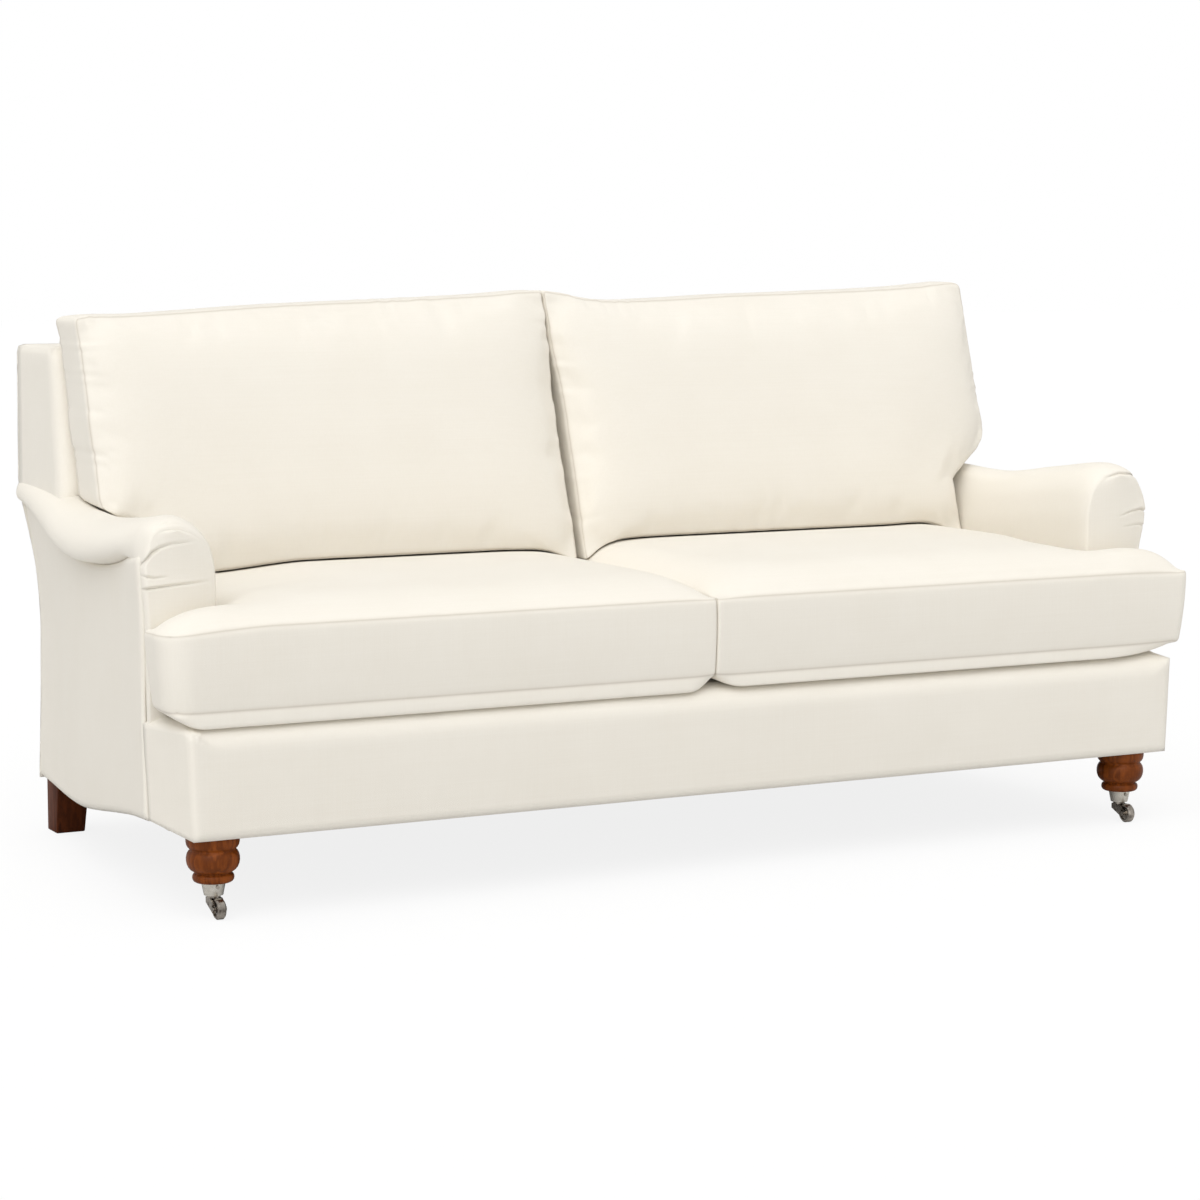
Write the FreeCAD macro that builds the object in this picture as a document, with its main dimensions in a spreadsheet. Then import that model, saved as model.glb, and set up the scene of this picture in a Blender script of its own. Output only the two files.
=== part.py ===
"""Two-seat rolled arm sofa: turned front legs on casters, T-shaped loose cushions.

Units are millimetres. X runs along the sofa, the front faces -Y and the floor is z = 0.
Every driving size sits once in the sheet "sizes"; the sheet "places" works out the levels
and planes that neighbouring pieces share, so mating faces move together.
"""
import FreeCAD, Part
import Sketcher
import math
import os

Vector = FreeCAD.Vector
doc = FreeCAD.newDocument("rolled_arm_sofa")

# Driving sizes: name, value, meaning.
SIZES = (
    ("overall_depth", "984", "cushion front to the top of the outside back"),
    ("cushion_proud", "6", "how far the seat cushions bulge ahead of the base"),
    ("base_bottom", "132", "floor to the underside of the base"),
    ("deck_top", "318", "floor to the deck that carries the seat cushions"),
    ("deck_pad", "19", "thickness of the deck"),
    ("ear_depth", "117", "base front to the arm fronts"),
    ("arm_outer_width", "1952", "across the outside arms at the front"),
    ("arm_thickness", "124", "inside of the arm to the outside arm at the front"),
    ("arm_taper", "46", "how much each outside arm draws in towards the back"),
    ("base_step", "26", "end of the front box in from the outside arm"),
    ("arm_wall", "30", "padding from the inside of the arm to its timber"),
    ("arm_front_height", "657", "top of the arm near its front"),
    ("arm_dip_height", "621", "lowest part of the arm's top line"),
    ("arm_rear_height", "637", "top of the arm where it meets the back"),
    ("arm_front_round", "31", "depth of the soft rounding at the arm front"),
    ("roll_overhang", "26", "how far the roll stands out past the outside arm"),
    ("roll_drop", "66", "top of the arm down to the outer side of the roll"),
    ("shoulder_drop", "42", "top of the arm down to its inner shoulder"),
    ("shoulder_in", "19", "inner shoulder back from the inside of the arm"),
    ("face_drop", "136", "top of the arm down to its flat inner face"),
    ("hem_lift", "20", "front of the outside arm's lower edge above the base's underside"),
    ("hem_dip", "22", "lowest part of that edge below the base's underside"),
    ("panel", "8", "thickness of the outside panels"),
    ("back_step", "12", "end of the upper back in from the outside arm"),
    ("back_height", "885", "top of the upholstered back"),
    ("back_bend", "380", "height where the outside back starts to lean"),
    ("back_sweep", "72", "lean of the outside back from the bend to the top"),
    ("back_round", "24", "rounding of the top of the back"),
    ("back_wall", "40", "padding of the inside back"),
    ("inside_depth", "582", "base front to the foot of the inside back"),
    ("back_lean", "18", "lean of the inside back in degrees"),
    ("timber", "24", "thickness of the rails and posts"),
    ("rail_drop", "28", "deck top down to the top of the rails"),
    ("border_pad", "12", "padding in front of the front rail"),
    ("border_side", "14", "padding at the ends of the front rail"),
    ("border_lip", "60", "depth of the padded front edge on top of the rail"),
    ("border_round", "18", "rounding of the padded front edge"),
    ("leg_block", "90", "front corner block"),
    ("rear_block", "70", "rear corner block"),
    ("post_depth", "40", "back posts, front to back"),
    ("post_spare", "20", "top of the back down to the posts"),
    ("brace_width", "40", "center brace and back stile"),
    ("spring_rail_height", "80", "rail that holds the rear ends of the springs"),
    ("spring_rail_space", "44", "inside back foot to that rail"),
    ("arm_rail_height", "40", "arm rail inside the roll"),
    ("arm_rail_cover", "43", "padding over the arm rail at the lowest part"),
    ("slat_width", "50", "lower back slat and arm slats"),
    ("slat_thickness", "16", "lower back slat"),
    ("top_rail_height", "60", "top rail of the back"),
    ("strap_width", "50", "back webbing"),
    ("strap_thickness", "2", "back webbing"),
    ("strap_count", "9", "back webbing"),
    ("spring_count", "8", "sinuous springs under the deck"),
    ("spring_wire", "3.6", "wire of the springs"),
    ("spring_swing", "46", "width of the springs across their bends"),
    ("spring_pitch", "30", "one bend of the springs to the next"),
    ("clip_width", "12", "spring clips"),
    ("dust_cover", "1.6", "cloth under the frame"),
    ("fit", "0.3", "clearance between upholstered pieces"),
    ("cover", "3", "cushion cover with its wadding"),
    ("seam_low", "16", "lower cushion seam above the deck"),
    ("boxing", "133", "seat cushion boxing"),
    ("seat_crown", "44", "rise of the seat cushion above its upper seam"),
    ("ear_reach", "42", "cushion ears past the ends of the base"),
    ("back_sit", "-0.2", "back cushions' lower seam above the seat cushions' crown"),
    ("back_cushion_top", "970", "height of the back cushions' upper seam"),
    ("back_boxing", "108", "back cushion boxing"),
    ("back_seat_in", "22", "back cushion's rear seam ahead of the inside back"),
    ("back_crown", "42", "front crown of the back cushions"),
    ("back_gap", "9", "half the gap between the back cushions"),
    ("back_ear", "80", "back cushions' reach over the arms"),
    ("leg_inset_side", "54", "front leg from the end of the base"),
    ("leg_inset_front", "51", "front leg from the front of the base"),
    ("bolt_diameter", "8", "leg bolts"),
    ("bolt_length", "110", "leg bolts"),
    ("bolt_in_leg", "40", "depth of the bolt in the leg"),
    ("hole_play", "0.1", "radial play of screws, bolts and pins"),
    ("flange_height", "17", "moulding at the top of the front leg"),
    ("flange_radius", "47", "moulding at the top of the front leg"),
    ("neck_radius", "40", "hollow under the moulding"),
    ("bun_height", "36", "bun of the front leg"),
    ("bun_swell", "7", "swell of the bun past its ends"),
    ("waist_radius", "31", "hollow under the bun"),
    ("ring_height", "21", "lower ring of the front leg"),
    ("ring_swell", "6", "swell of the lower ring"),
    ("cup_height", "22", "caster cup"),
    ("cup_radius", "20", "caster cup at the top"),
    ("cup_foot_radius", "15.5", "caster cup at the bottom"),
    ("cup_wall", "2", "caster cup"),
    ("cup_floor", "3", "caster cup"),
    ("spigot_length", "14", "turned end of the leg inside the cup"),
    ("screw_radius", "1.5", "cup screws"),
    ("screw_head", "1.4", "thickness of the screw heads"),
    ("wheel_radius", "17", "caster wheel"),
    ("wheel_width", "14", "caster wheel"),
    ("wheel_edge", "2.5", "rounding of the wheel's tread"),
    ("wheel_play", "0.8", "wheel to each cheek"),
    ("axle_radius", "2.5", "caster axle"),
    ("cheek", "2.6", "thickness of the fork's cheeks"),
    ("boss_radius", "7.5", "end of the cheek around the axle"),
    ("trail", "24", "axle from the swivel axis"),
    ("pin_radius", "4", "swivel pin"),
    ("pin_head_radius", "6.5", "swivel pin head inside the cup"),
    ("crown_radius", "11", "disc on top of the fork"),
    ("crown_height", "3.7", "disc on top of the fork"),
    ("rear_leg_width", "62", "rear leg at the top"),
    ("rear_leg_depth", "72", "rear leg at the top"),
    ("rear_leg_taper", "8", "narrowing of the inner face at the foot"),
    ("rear_leg_sweep", "22", "front face swept back at the foot"),
    ("rear_leg_kick", "3", "rear face kicked back at the foot"),
)

# Shared levels and planes, each a formula on the sizes or on a place above it.
PLACES = (
    ("front", "-sizes.overall_depth / 2 + sizes.cushion_proud"),
    ("rear_top", "sizes.overall_depth / 2"),
    ("rear_foot", "rear_top - sizes.back_sweep"),
    ("panel_foot", "rear_foot - sizes.panel"),
    ("panel_top", "rear_top - sizes.panel"),
    ("lean_slope", "sizes.back_sweep / (sizes.back_height - sizes.back_bend)"),
    ("arm_front", "front + sizes.ear_depth"),
    ("arm_half", "sizes.arm_outer_width / 2"),
    ("arm_rear_half", "arm_half - sizes.arm_taper"),
    ("seat_half", "arm_half - sizes.arm_thickness"),
    ("base_half", "arm_half - sizes.base_step"),
    ("back_half", "arm_rear_half - sizes.back_step"),
    ("rail_top", "sizes.deck_top - sizes.rail_drop"),
    ("deck_under", "sizes.deck_top - sizes.deck_pad"),
    ("inside_foot", "front + sizes.inside_depth"),
    ("rail_front", "front + sizes.border_pad"),
    ("rail_back", "rail_front + sizes.timber"),
    ("frame_half", "base_half - sizes.border_side"),
    ("block_in", "frame_half - sizes.leg_block"),
    ("block_back", "rail_back + sizes.leg_block"),
    ("side_in", "seat_half + sizes.arm_wall"),
    ("side_out", "side_in + sizes.timber"),
    ("post_front", "panel_foot - sizes.post_depth"),
    ("back_rail_front", "panel_foot - sizes.timber"),
    ("rear_block_in", "side_in - sizes.rear_block"),
    ("rear_block_front", "back_rail_front - sizes.rear_block"),
    ("brace_half", "sizes.brace_width / 2"),
    ("spring_rail_front", "inside_foot + sizes.spring_rail_space"),
    ("spring_rail_back", "spring_rail_front + sizes.timber"),
    ("spring_rail_low", "rail_top - sizes.spring_rail_height"),
    ("brace_top", "spring_rail_low"),
    ("arm_cavity_top", "sizes.arm_dip_height - sizes.arm_rail_cover + 2"),
    ("arm_rail_top", "sizes.arm_dip_height - sizes.arm_rail_cover"),
    ("arm_rail_low", "arm_rail_top - sizes.arm_rail_height"),
    ("arm_post_front", "arm_front + sizes.arm_front_round"),
    ("arm_post_back", "arm_post_front + sizes.timber"),
    ("arm_post_out", "arm_half - 2 * sizes.panel - 6"),
    ("arm_slat_low", "sizes.deck_top + 20"),
    ("arm_slat_top", "arm_slat_low + sizes.slat_width"),
    ("post_top", "sizes.back_height - sizes.post_spare"),
    ("post_top_back", "panel_foot + lean_slope * (post_top - sizes.back_bend)"),
    ("post_top_front", "post_top_back - sizes.post_depth"),
    ("top_rail_low", "post_top - sizes.top_rail_height"),
    ("top_rail_low_back", "panel_foot + lean_slope * (top_rail_low - sizes.back_bend)"),
    ("top_rail_low_front", "top_rail_low_back - sizes.post_depth"),
    ("stile_low_front", "panel_foot - sizes.timber"),
    ("stile_top_front", "top_rail_low_back - sizes.timber"),
    ("slat_low", "sizes.back_bend + 20"),
    ("slat_top", "slat_low + sizes.slat_width"),
    ("slat_low_front", "post_front + lean_slope * (slat_low - sizes.back_bend)"),
    ("slat_low_back", "slat_low_front + sizes.slat_thickness"),
    ("slat_top_front", "post_front + lean_slope * (slat_top - sizes.back_bend)"),
    ("slat_top_back", "slat_top_front + sizes.slat_thickness"),
    ("leg_x", "base_half - sizes.leg_inset_side"),
    ("leg_y", "front + sizes.leg_inset_front"),
    ("rear_leg_out", "side_out + 1"),
    ("rear_leg_in", "rear_leg_out - sizes.rear_leg_width"),
    ("rear_leg_foot_in", "rear_leg_in + sizes.rear_leg_taper"),
    ("rear_leg_back", "panel_foot - 12"),
    ("rear_leg_front", "rear_leg_back - sizes.rear_leg_depth"),
    ("rear_leg_foot_front", "rear_leg_front + sizes.rear_leg_sweep"),
    ("rear_leg_foot_back", "rear_leg_back + sizes.rear_leg_kick"),
    ("rear_bolt_x", "side_in - 20"),
    ("rear_bolt_y", "rear_leg_front + 20"),
    ("dust_low", "sizes.base_bottom - sizes.dust_cover"),
    ("dust_front", "leg_y + sizes.flange_radius + 3"),
    ("dust_back", "rear_leg_front - 8"),
    ("dust_half", "side_out - 6"),
    ("dust_leg", "rear_leg_in - 5"),
    ("bolt_hole", "sizes.bolt_diameter / 2 + sizes.hole_play"),
    ("bolt_low", "sizes.base_bottom - sizes.bolt_in_leg"),
    ("bolt_pocket", "bolt_low - 1"),
    ("flange_low", "sizes.base_bottom - sizes.flange_height"),
    ("bun_low", "flange_low - sizes.bun_height"),
    ("ring_low", "bun_low - sizes.ring_height"),
    ("ring_edge", "sizes.waist_radius - 2"),
    ("cup_low", "ring_low - sizes.cup_height"),
    ("cup_inner", "sizes.cup_radius - sizes.cup_wall"),
    ("cup_foot_inner", "sizes.cup_foot_radius - sizes.cup_wall"),
    ("cup_floor_top", "cup_low + sizes.cup_floor"),
    ("cup_taper", "(sizes.cup_radius - sizes.cup_foot_radius) / sizes.cup_height"),
    ("cup_floor_inner", "cup_foot_inner + cup_taper * sizes.cup_floor"),
    ("pin_hole", "sizes.pin_radius + sizes.hole_play"),
    ("spigot_low", "ring_low - sizes.spigot_length"),
    ("spigot_radius", "cup_inner - sizes.hole_play"),
    ("spigot_foot", "spigot_radius - cup_taper * sizes.spigot_length"),
    ("screw_level", "ring_low - sizes.spigot_length / 2"),
    ("screw_hole", "sizes.screw_radius + sizes.hole_play"),
    ("pin_head_low", "cup_floor_top + sizes.fit"),
    ("pin_head_top", "pin_head_low + 2.4"),
    ("crown_top", "cup_low - sizes.fit"),
    ("crown_low", "crown_top - sizes.crown_height"),
    ("slot_half", "sizes.wheel_width / 2 + sizes.wheel_play"),
    ("fork_half", "slot_half + sizes.cheek"),
    ("wheel_y", "-sizes.trail"),
    ("axle_hole", "sizes.axle_radius + sizes.hole_play"),
    ("horn_back", "sizes.crown_radius - 2"),
    ("horn_low", "crown_low - 9"),
    ("cheek_low_y", "wheel_y + 0.45 * sizes.boss_radius"),
    ("cheek_low_z", "sizes.wheel_radius - 0.893 * sizes.boss_radius"),
    ("cheek_high_y", "wheel_y - 0.48 * sizes.boss_radius"),
    ("cheek_high_z", "sizes.wheel_radius + 0.877 * sizes.boss_radius"),
    ("cheek_sag", "sizes.boss_radius * 0.98"),
    ("cheek_top_y", "-sizes.crown_radius - 1"),
    ("slot_back", "-sizes.trail + sizes.wheel_radius + 5"),
    ("slot_front", "-sizes.trail - sizes.wheel_radius"),
    ("slot_low", "sizes.wheel_radius - 2 * sizes.boss_radius"),
    ("wheel_half", "sizes.wheel_width / 2"),
    ("wheel_edge_half", "wheel_half - sizes.wheel_edge"),
    ("wheel_edge_radius", "sizes.wheel_radius - sizes.wheel_edge"),
    ("hub_half", "slot_half - 0.3"),
    ("hub_radius", "sizes.axle_radius + 3"),
    ("dish_half", "wheel_half - 2.2"),
    ("dish_radius", "sizes.wheel_radius - 5"),
)

SIZE_NAMES = {name for name, _, _ in SIZES}


def fill_sheet(name, rows):
    """Make a spreadsheet with one aliased cell per row."""
    sheet = doc.addObject("Spreadsheet::Sheet", name)
    for number, row in enumerate(rows, start=1):
        sheet.set(f"A{number}", row[0])
        sheet.set(f"B{number}", row[1])
        sheet.setAlias(f"B{number}", row[0])
    return sheet


PLACE_NAMES = [name for name, _ in PLACES]
sizes = fill_sheet("sizes", SIZES)
doc.recompute()
places = fill_sheet("places", [(name, "=" + formula) for name, formula in PLACES])
doc.recompute()


def num(name):
    """The value behind a size or place; a leading minus turns its sign."""
    bare = name.lstrip("-")
    sheet = sizes if bare in SIZE_NAMES else places
    value = float(getattr(sheet, bare))
    return -value if name.startswith("-") else value


def ref(name):
    """The expression that binds a property to a size or place."""
    bare = name.lstrip("-")
    sheet = "sizes" if bare in SIZE_NAMES else "places"
    return f"-{sheet}.{bare}" if name.startswith("-") else f"{sheet}.{bare}"


def span(side, inner, outer):
    """The low and high x of a piece on one side; the left side is at negative x."""
    return (inner, outer) if side == "right" else ("-" + outer, "-" + inner)


def bind(obj, **properties):
    """Bind properties to expressions; x, y and z stand for the placement."""
    for name, text in properties.items():
        target = f"Placement.Base.{name}" if name in "xyz" else name
        obj.setExpression(target, text)
    return obj


def box(label, x_span, y_span, z_span):
    """A Part box between named planes."""
    obj = doc.addObject("Part::Box", label)
    lengths = [f"{ref(high)} - ({ref(low)})" for low, high in (x_span, y_span, z_span)]
    starts = [ref(low) for low, _ in (x_span, y_span, z_span)]
    return bind(obj, Length=lengths[0], Width=lengths[1], Height=lengths[2],
                x=starts[0], y=starts[1], z=starts[2])


def cylinder(label, radius, height, x, y, z):
    """An upright Part cylinder; every argument is an expression."""
    obj = doc.addObject("Part::Cylinder", label)
    return bind(obj, Radius=radius, Height=height, x=x, y=y, z=z)


def cut(label, base, *tools):
    """A boolean cut with one or more tools."""
    tool = tools[0]
    if len(tools) > 1:
        tool = doc.addObject("Part::MultiFuse", label + "_tools")
        tool.Shapes = list(tools)
    obj = doc.addObject("Part::Cut", label)
    obj.Base = base
    obj.Tool = tool
    return obj


def group(label, members):
    """Several solids kept in one node."""
    obj = doc.addObject("Part::Compound", label)
    obj.Links = list(members)
    return obj


def origin_plane(body, role):
    """One of the body's own origin planes or axes."""
    return next(item for item in body.Origin.OriginFeatures if item.Role == role)


def outline(body, name, plane, corners, arcs=None):
    """A closed sketch through named corners; arcs maps an edge number to its rise.

    A positive rise bulges the edge to the right of its direction.
    """
    arcs = arcs or {}
    sketch = body.newObject("Sketcher::SketchObject", name)
    sketch.AttachmentSupport = [(origin_plane(body, plane), "")]
    sketch.MapMode = "FlatFace"
    points = [Vector(*(num(entry) if isinstance(entry, str) else entry for entry in corner), 0)
              for corner in corners]
    count = len(points)
    edges = []
    for index in range(count):
        start, end = points[index], points[(index + 1) % count]
        if index in arcs:
            along = (end - start).normalize()
            rise = Vector(along.y, -along.x, 0) * num(arcs[index])
            arc = sketch.addGeometry(Part.Arc(start, (start + end) / 2 + rise, end), False)
            sketch.addConstraint(Sketcher.Constraint("Radius", arc, sketch.Geometry[arc].Radius))
            edges.append(arc)
        else:
            edges.append(sketch.addGeometry(Part.LineSegment(start, end), False))

    def end_at(edge, point):
        near = [(sketch.getPoint(edge, position) - point).Length for position in (1, 2)]
        return 1 if near[0] < near[1] else 2

    for index, point in enumerate(points):
        here, before = edges[index], edges[index - 1]
        start = end_at(here, point)
        sketch.addConstraint(
            Sketcher.Constraint("Coincident", before, end_at(before, point), here, start))
        for kind, axis, entry, value in (("DistanceX", -2, corners[index][0], point.x),
                                         ("DistanceY", -1, corners[index][1], point.y)):
            if not isinstance(entry, str):
                sketch.addConstraint(Sketcher.Constraint("PointOnObject", here, start, axis))
                continue
            number = sketch.addConstraint(Sketcher.Constraint(kind, -1, 1, here, start, value))
            sketch.setExpression(f"Constraints[{number}]", ref(entry))
    return sketch


def padded(label, x_span, corners, arcs=None):
    """A body padded along X from an outline in the YZ plane."""
    body = doc.addObject("PartDesign::Body", label)
    sketch = outline(body, label + "_outline", "YZ_Plane", corners, arcs)
    pad = body.newObject("PartDesign::Pad", label + "_pad")
    pad.Profile = sketch
    bind(pad, Length=f"{ref(x_span[1])} - ({ref(x_span[0])})")
    return bind(body, x=ref(x_span[0]))


def turned(label, corners, arcs=None):
    """A body turned about its own Z axis from a half outline in the XZ plane."""
    body = doc.addObject("PartDesign::Body", label)
    sketch = outline(body, label + "_profile", "XZ_Plane", corners, arcs)
    turn = body.newObject("PartDesign::Revolution", label + "_turn")
    turn.Profile = sketch
    turn.ReferenceAxis = (origin_plane(body, "Z_Axis"), [""])
    turn.Angle = 360
    return body


def feature(label, shape):
    """A Part feature holding a shape made from the sheet's sizes."""
    obj = doc.addObject("Part::Feature", label)
    obj.Shape = shape
    return obj


nodes = []


def keep(*objects):
    """List finished nodes for export."""
    nodes.extend(objects)
    return objects[-1]


SIDES = ("left", "right")

# Timber frame.
keep(box("front_rail", ("-frame_half", "frame_half"), ("rail_front", "rail_back"),
         ("base_bottom", "rail_top")))
keep(box("back_rail", ("-side_in", "side_in"), ("back_rail_front", "panel_foot"),
         ("base_bottom", "rail_top")))
keep(box("center_brace", ("-brace_half", "brace_half"), ("rail_back", "back_rail_front"),
         ("base_bottom", "brace_top")))
keep(box("spring_rail", ("-side_in", "side_in"), ("spring_rail_front", "spring_rail_back"),
         ("spring_rail_low", "rail_top")))
for side in SIDES:
    beam = span(side, "side_in", "side_out")
    keep(box(f"side_rail_{side}", beam, ("block_back", "post_front"), ("base_bottom", "rail_top")))
    keep(box(f"arm_post_{side}", span(side, "side_in", "arm_post_out"),
             ("arm_post_front", "arm_post_back"), ("rail_top", "arm_rail_top")))
    keep(box(f"arm_rail_{side}", beam, ("arm_post_back", "post_front"), ("arm_rail_low", "arm_rail_top")))
    keep(box(f"arm_slat_{side}", beam, ("arm_post_back", "post_front"), ("arm_slat_low", "arm_slat_top")))
    keep(padded(f"back_post_{side}", beam, (
        ("post_front", "base_bottom"), ("panel_foot", "base_bottom"), ("panel_foot", "back_bend"),
        ("post_top_back", "post_top"), ("post_top_front", "post_top"), ("post_front", "back_bend"))))
keep(padded("back_top_rail", ("-side_in", "side_in"), (
    ("top_rail_low_front", "top_rail_low"), ("top_rail_low_back", "top_rail_low"),
    ("post_top_back", "post_top"), ("post_top_front", "post_top"))))
keep(padded("back_slat", ("-side_in", "side_in"), (
    ("slat_low_front", "slat_low"), ("slat_low_back", "slat_low"),
    ("slat_top_back", "slat_top"), ("slat_top_front", "slat_top"))))
keep(padded("back_stile", ("-brace_half", "brace_half"), (
    ("stile_low_front", "rail_top"), ("panel_foot", "rail_top"), ("panel_foot", "back_bend"),
    ("top_rail_low_back", "top_rail_low"), ("stile_top_front", "top_rail_low"),
    ("stile_low_front", "back_bend"))))

# Corner blocks, leg bolts and rear legs share the bolt axes.
blocks = []
bolts = []
for side in SIDES:
    sign = "" if side == "right" else "-"
    front_block = box(f"front_block_{side}", span(side, "block_in", "frame_half"),
                      ("rail_back", "block_back"), ("base_bottom", "rail_top"))
    rear_block = box(f"rear_block_{side}", span(side, "rear_block_in", "side_in"),
                     ("rear_block_front", "back_rail_front"), ("base_bottom", "rail_top"))
    for end, x, y, block in (("front", "leg_x", "leg_y", front_block),
                             ("rear", "rear_bolt_x", "rear_bolt_y", rear_block)):
        hole = cylinder(f"{end}_hole_{side}", ref("bolt_hole"), "sizes.bolt_length + 1",
                        ref(sign + x), ref(y), ref("bolt_pocket"))
        bolts.append(cylinder(f"{end}_bolt_{side}", "sizes.bolt_diameter / 2", ref("bolt_length"),
                              ref(sign + x), ref(y), ref("bolt_low")))
        blocks.append(cut(f"{end}_block_bored_{side}", block, hole))
    leg = doc.addObject("Part::Wedge", f"rear_leg_blank_{side}")
    leg.Placement.Rotation = FreeCAD.Rotation(Vector(1, 0, 0), 90)
    foot = span(side, "rear_leg_foot_in", "rear_leg_out")
    top = span(side, "rear_leg_in", "rear_leg_out")
    # The wedge grows along its own Y, which the turn sets upright, with its own Z to the front.
    bind(leg, Xmin=ref(foot[0]), Xmax=ref(foot[1]), X2min=ref(top[0]), X2max=ref(top[1]),
         Ymin="0", Ymax=ref("base_bottom"),
         Zmin=ref("-rear_leg_foot_back"), Zmax=ref("-rear_leg_foot_front"),
         Z2min=ref("-rear_leg_back"), Z2max=ref("-rear_leg_front"))
    rear_hole = cylinder(f"rear_leg_hole_{side}", ref("bolt_hole"), "sizes.bolt_length + 1",
                         ref(sign + "rear_bolt_x"), ref("rear_bolt_y"), ref("bolt_pocket"))
    keep(cut(f"rear_leg_{side}", leg, rear_hole))
keep(group("corner_blocks", blocks))
keep(group("leg_bolts", bolts))

# Turned front legs and their casters, drawn on the leg's axis and moved to it.
screws = []
for side in SIDES:
    sign = "" if side == "right" else "-"
    on_leg = {"x": ref(sign + "leg_x"), "y": ref("leg_y")}
    leg = turned(f"front_leg_blank_{side}", (
        (0, "spigot_low"), ("spigot_foot", "spigot_low"), ("spigot_radius", "ring_low"),
        ("ring_edge", "ring_low"), ("waist_radius", "bun_low"), ("neck_radius", "flange_low"),
        ("flange_radius", "base_bottom"), ("bolt_hole", "base_bottom"), ("bolt_hole", "bolt_pocket"),
        (0, "bolt_pocket")), {3: "ring_swell", 4: "bun_swell"})
    cup = turned(f"caster_cup_blank_{side}", (
        ("pin_hole", "cup_low"), ("cup_foot_radius", "cup_low"), ("cup_radius", "ring_low"),
        ("cup_inner", "ring_low"), ("cup_floor_inner", "cup_floor_top"), ("pin_hole", "cup_floor_top")))
    for body in (leg, cup):
        bind(body, **on_leg)
    drills = []
    for facing, angle in (("front", 90), ("rear", -90)):
        turn = FreeCAD.Rotation(Vector(1, 0, 0), angle)
        reach = "-" if facing == "front" else "+"
        drill = cylinder(f"drill_{facing}_{side}", ref("screw_hole"), "sizes.cup_radius - 9",
                         on_leg["x"], f"{on_leg['y']} {reach} 9", ref("screw_level"))
        shank = cylinder(f"shank_{facing}_{side}", ref("screw_radius"), "sizes.cup_radius - 9.5",
                         on_leg["x"], f"{on_leg['y']} {reach} 9.5", ref("screw_level"))
        head = cylinder(f"head_{facing}_{side}", "sizes.screw_radius * 2", ref("screw_head"),
                        on_leg["x"], f"{on_leg['y']} {reach} (sizes.cup_radius - 0.1)", ref("screw_level"))
        for obj in (drill, shank, head):
            obj.Placement.Rotation = turn
        drills.append(drill)
        screw = doc.addObject("Part::Fuse", f"screw_{facing}_{side}")
        screw.Base = shank
        screw.Tool = head
        screws.append(screw)
    keep(cut(f"front_leg_{side}", leg, *drills))
    keep(cut(f"caster_cup_{side}", cup, *drills))

    fork = turned(f"caster_fork_{side}", (
        (0, "crown_low"), ("crown_radius", "crown_low"), ("crown_radius", "crown_top"),
        ("pin_radius", "crown_top"), ("pin_radius", "pin_head_low"), ("pin_head_radius", "pin_head_low"),
        ("pin_head_radius", "pin_head_top"), (0, "pin_head_top")))
    cheeks = fork.newObject("PartDesign::Pad", f"cheeks_{side}")
    cheeks.Profile = outline(fork, f"cheek_outline_{side}", "YZ_Plane", (
        ("horn_back", "crown_low"), ("cheek_top_y", "crown_low"), ("cheek_high_y", "cheek_high_z"),
        ("cheek_low_y", "cheek_low_z"), ("horn_back", "horn_low")), {2: "-cheek_sag"})
    cheeks.SideType = "Symmetric"
    bind(cheeks, Length="2 * places.fork_half")
    slot = fork.newObject("PartDesign::Pocket", f"wheel_slot_{side}")
    slot.Profile = outline(fork, f"slot_outline_{side}", "YZ_Plane", (
        ("slot_front", "crown_low"), ("slot_back", "crown_low"), ("slot_back", "slot_low"),
        ("slot_front", "slot_low")))
    slot.SideType = "Symmetric"
    bind(slot, Length="2 * places.slot_half")
    doc.recompute()
    bind(fork, **on_leg)
    bore = cylinder(f"axle_bore_{side}", ref("axle_hole"), "2 * places.fork_half + 2",
                    f"{on_leg['x']} - places.fork_half - 1", f"{on_leg['y']} + places.wheel_y",
                    ref("wheel_radius"))
    bore.Placement.Rotation = FreeCAD.Rotation(Vector(0, 1, 0), 90)
    fork.Label = f"fork_blank_{side}"
    fork = cut(f"caster_fork_bored_{side}", fork, bore)
    fork.Label = f"caster_fork_{side}"
    keep(fork)

    axle_parts = []
    for name, radius, start, length in (
            ("pin", ref("axle_radius"), "-places.fork_half - 0.2", "2 * places.fork_half + 0.4"),
            ("head_low", ref("pin_radius"), "-places.fork_half - 1.4", "1.3"),
            ("head_high", ref("pin_radius"), "places.fork_half + 0.1", "1.3")):
        part = cylinder(f"axle_{name}_{side}", radius, length, f"{on_leg['x']} + ({start})",
                        f"{on_leg['y']} + places.wheel_y", ref("wheel_radius"))
        part.Placement.Rotation = FreeCAD.Rotation(Vector(0, 1, 0), 90)
        axle_parts.append(part)
    axle = doc.addObject("Part::MultiFuse", f"caster_axle_{side}")
    axle.Shapes = axle_parts
    keep(axle)

    wheel = turned(f"caster_wheel_{side}", (
        ("axle_hole", "-hub_half"), ("hub_radius", "-hub_half"), ("hub_radius", "-dish_half"),
        ("dish_radius", "-dish_half"), ("dish_radius", "-wheel_half"), ("wheel_edge_radius", "-wheel_half"),
        ("wheel_radius", "-wheel_edge_half"), ("wheel_radius", "wheel_edge_half"),
        ("wheel_edge_radius", "wheel_half"), ("dish_radius", "wheel_half"), ("dish_radius", "dish_half"),
        ("hub_radius", "dish_half"), ("hub_radius", "hub_half"), ("axle_hole", "hub_half")))
    wheel.Placement.Rotation = FreeCAD.Rotation(Vector(0, 1, 0), 90)
    bind(wheel, x=on_leg["x"], y=f"{on_leg['y']} + places.wheel_y", z=ref("wheel_radius"))
    keep(wheel)
keep(group("caster_screws", screws))

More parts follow.
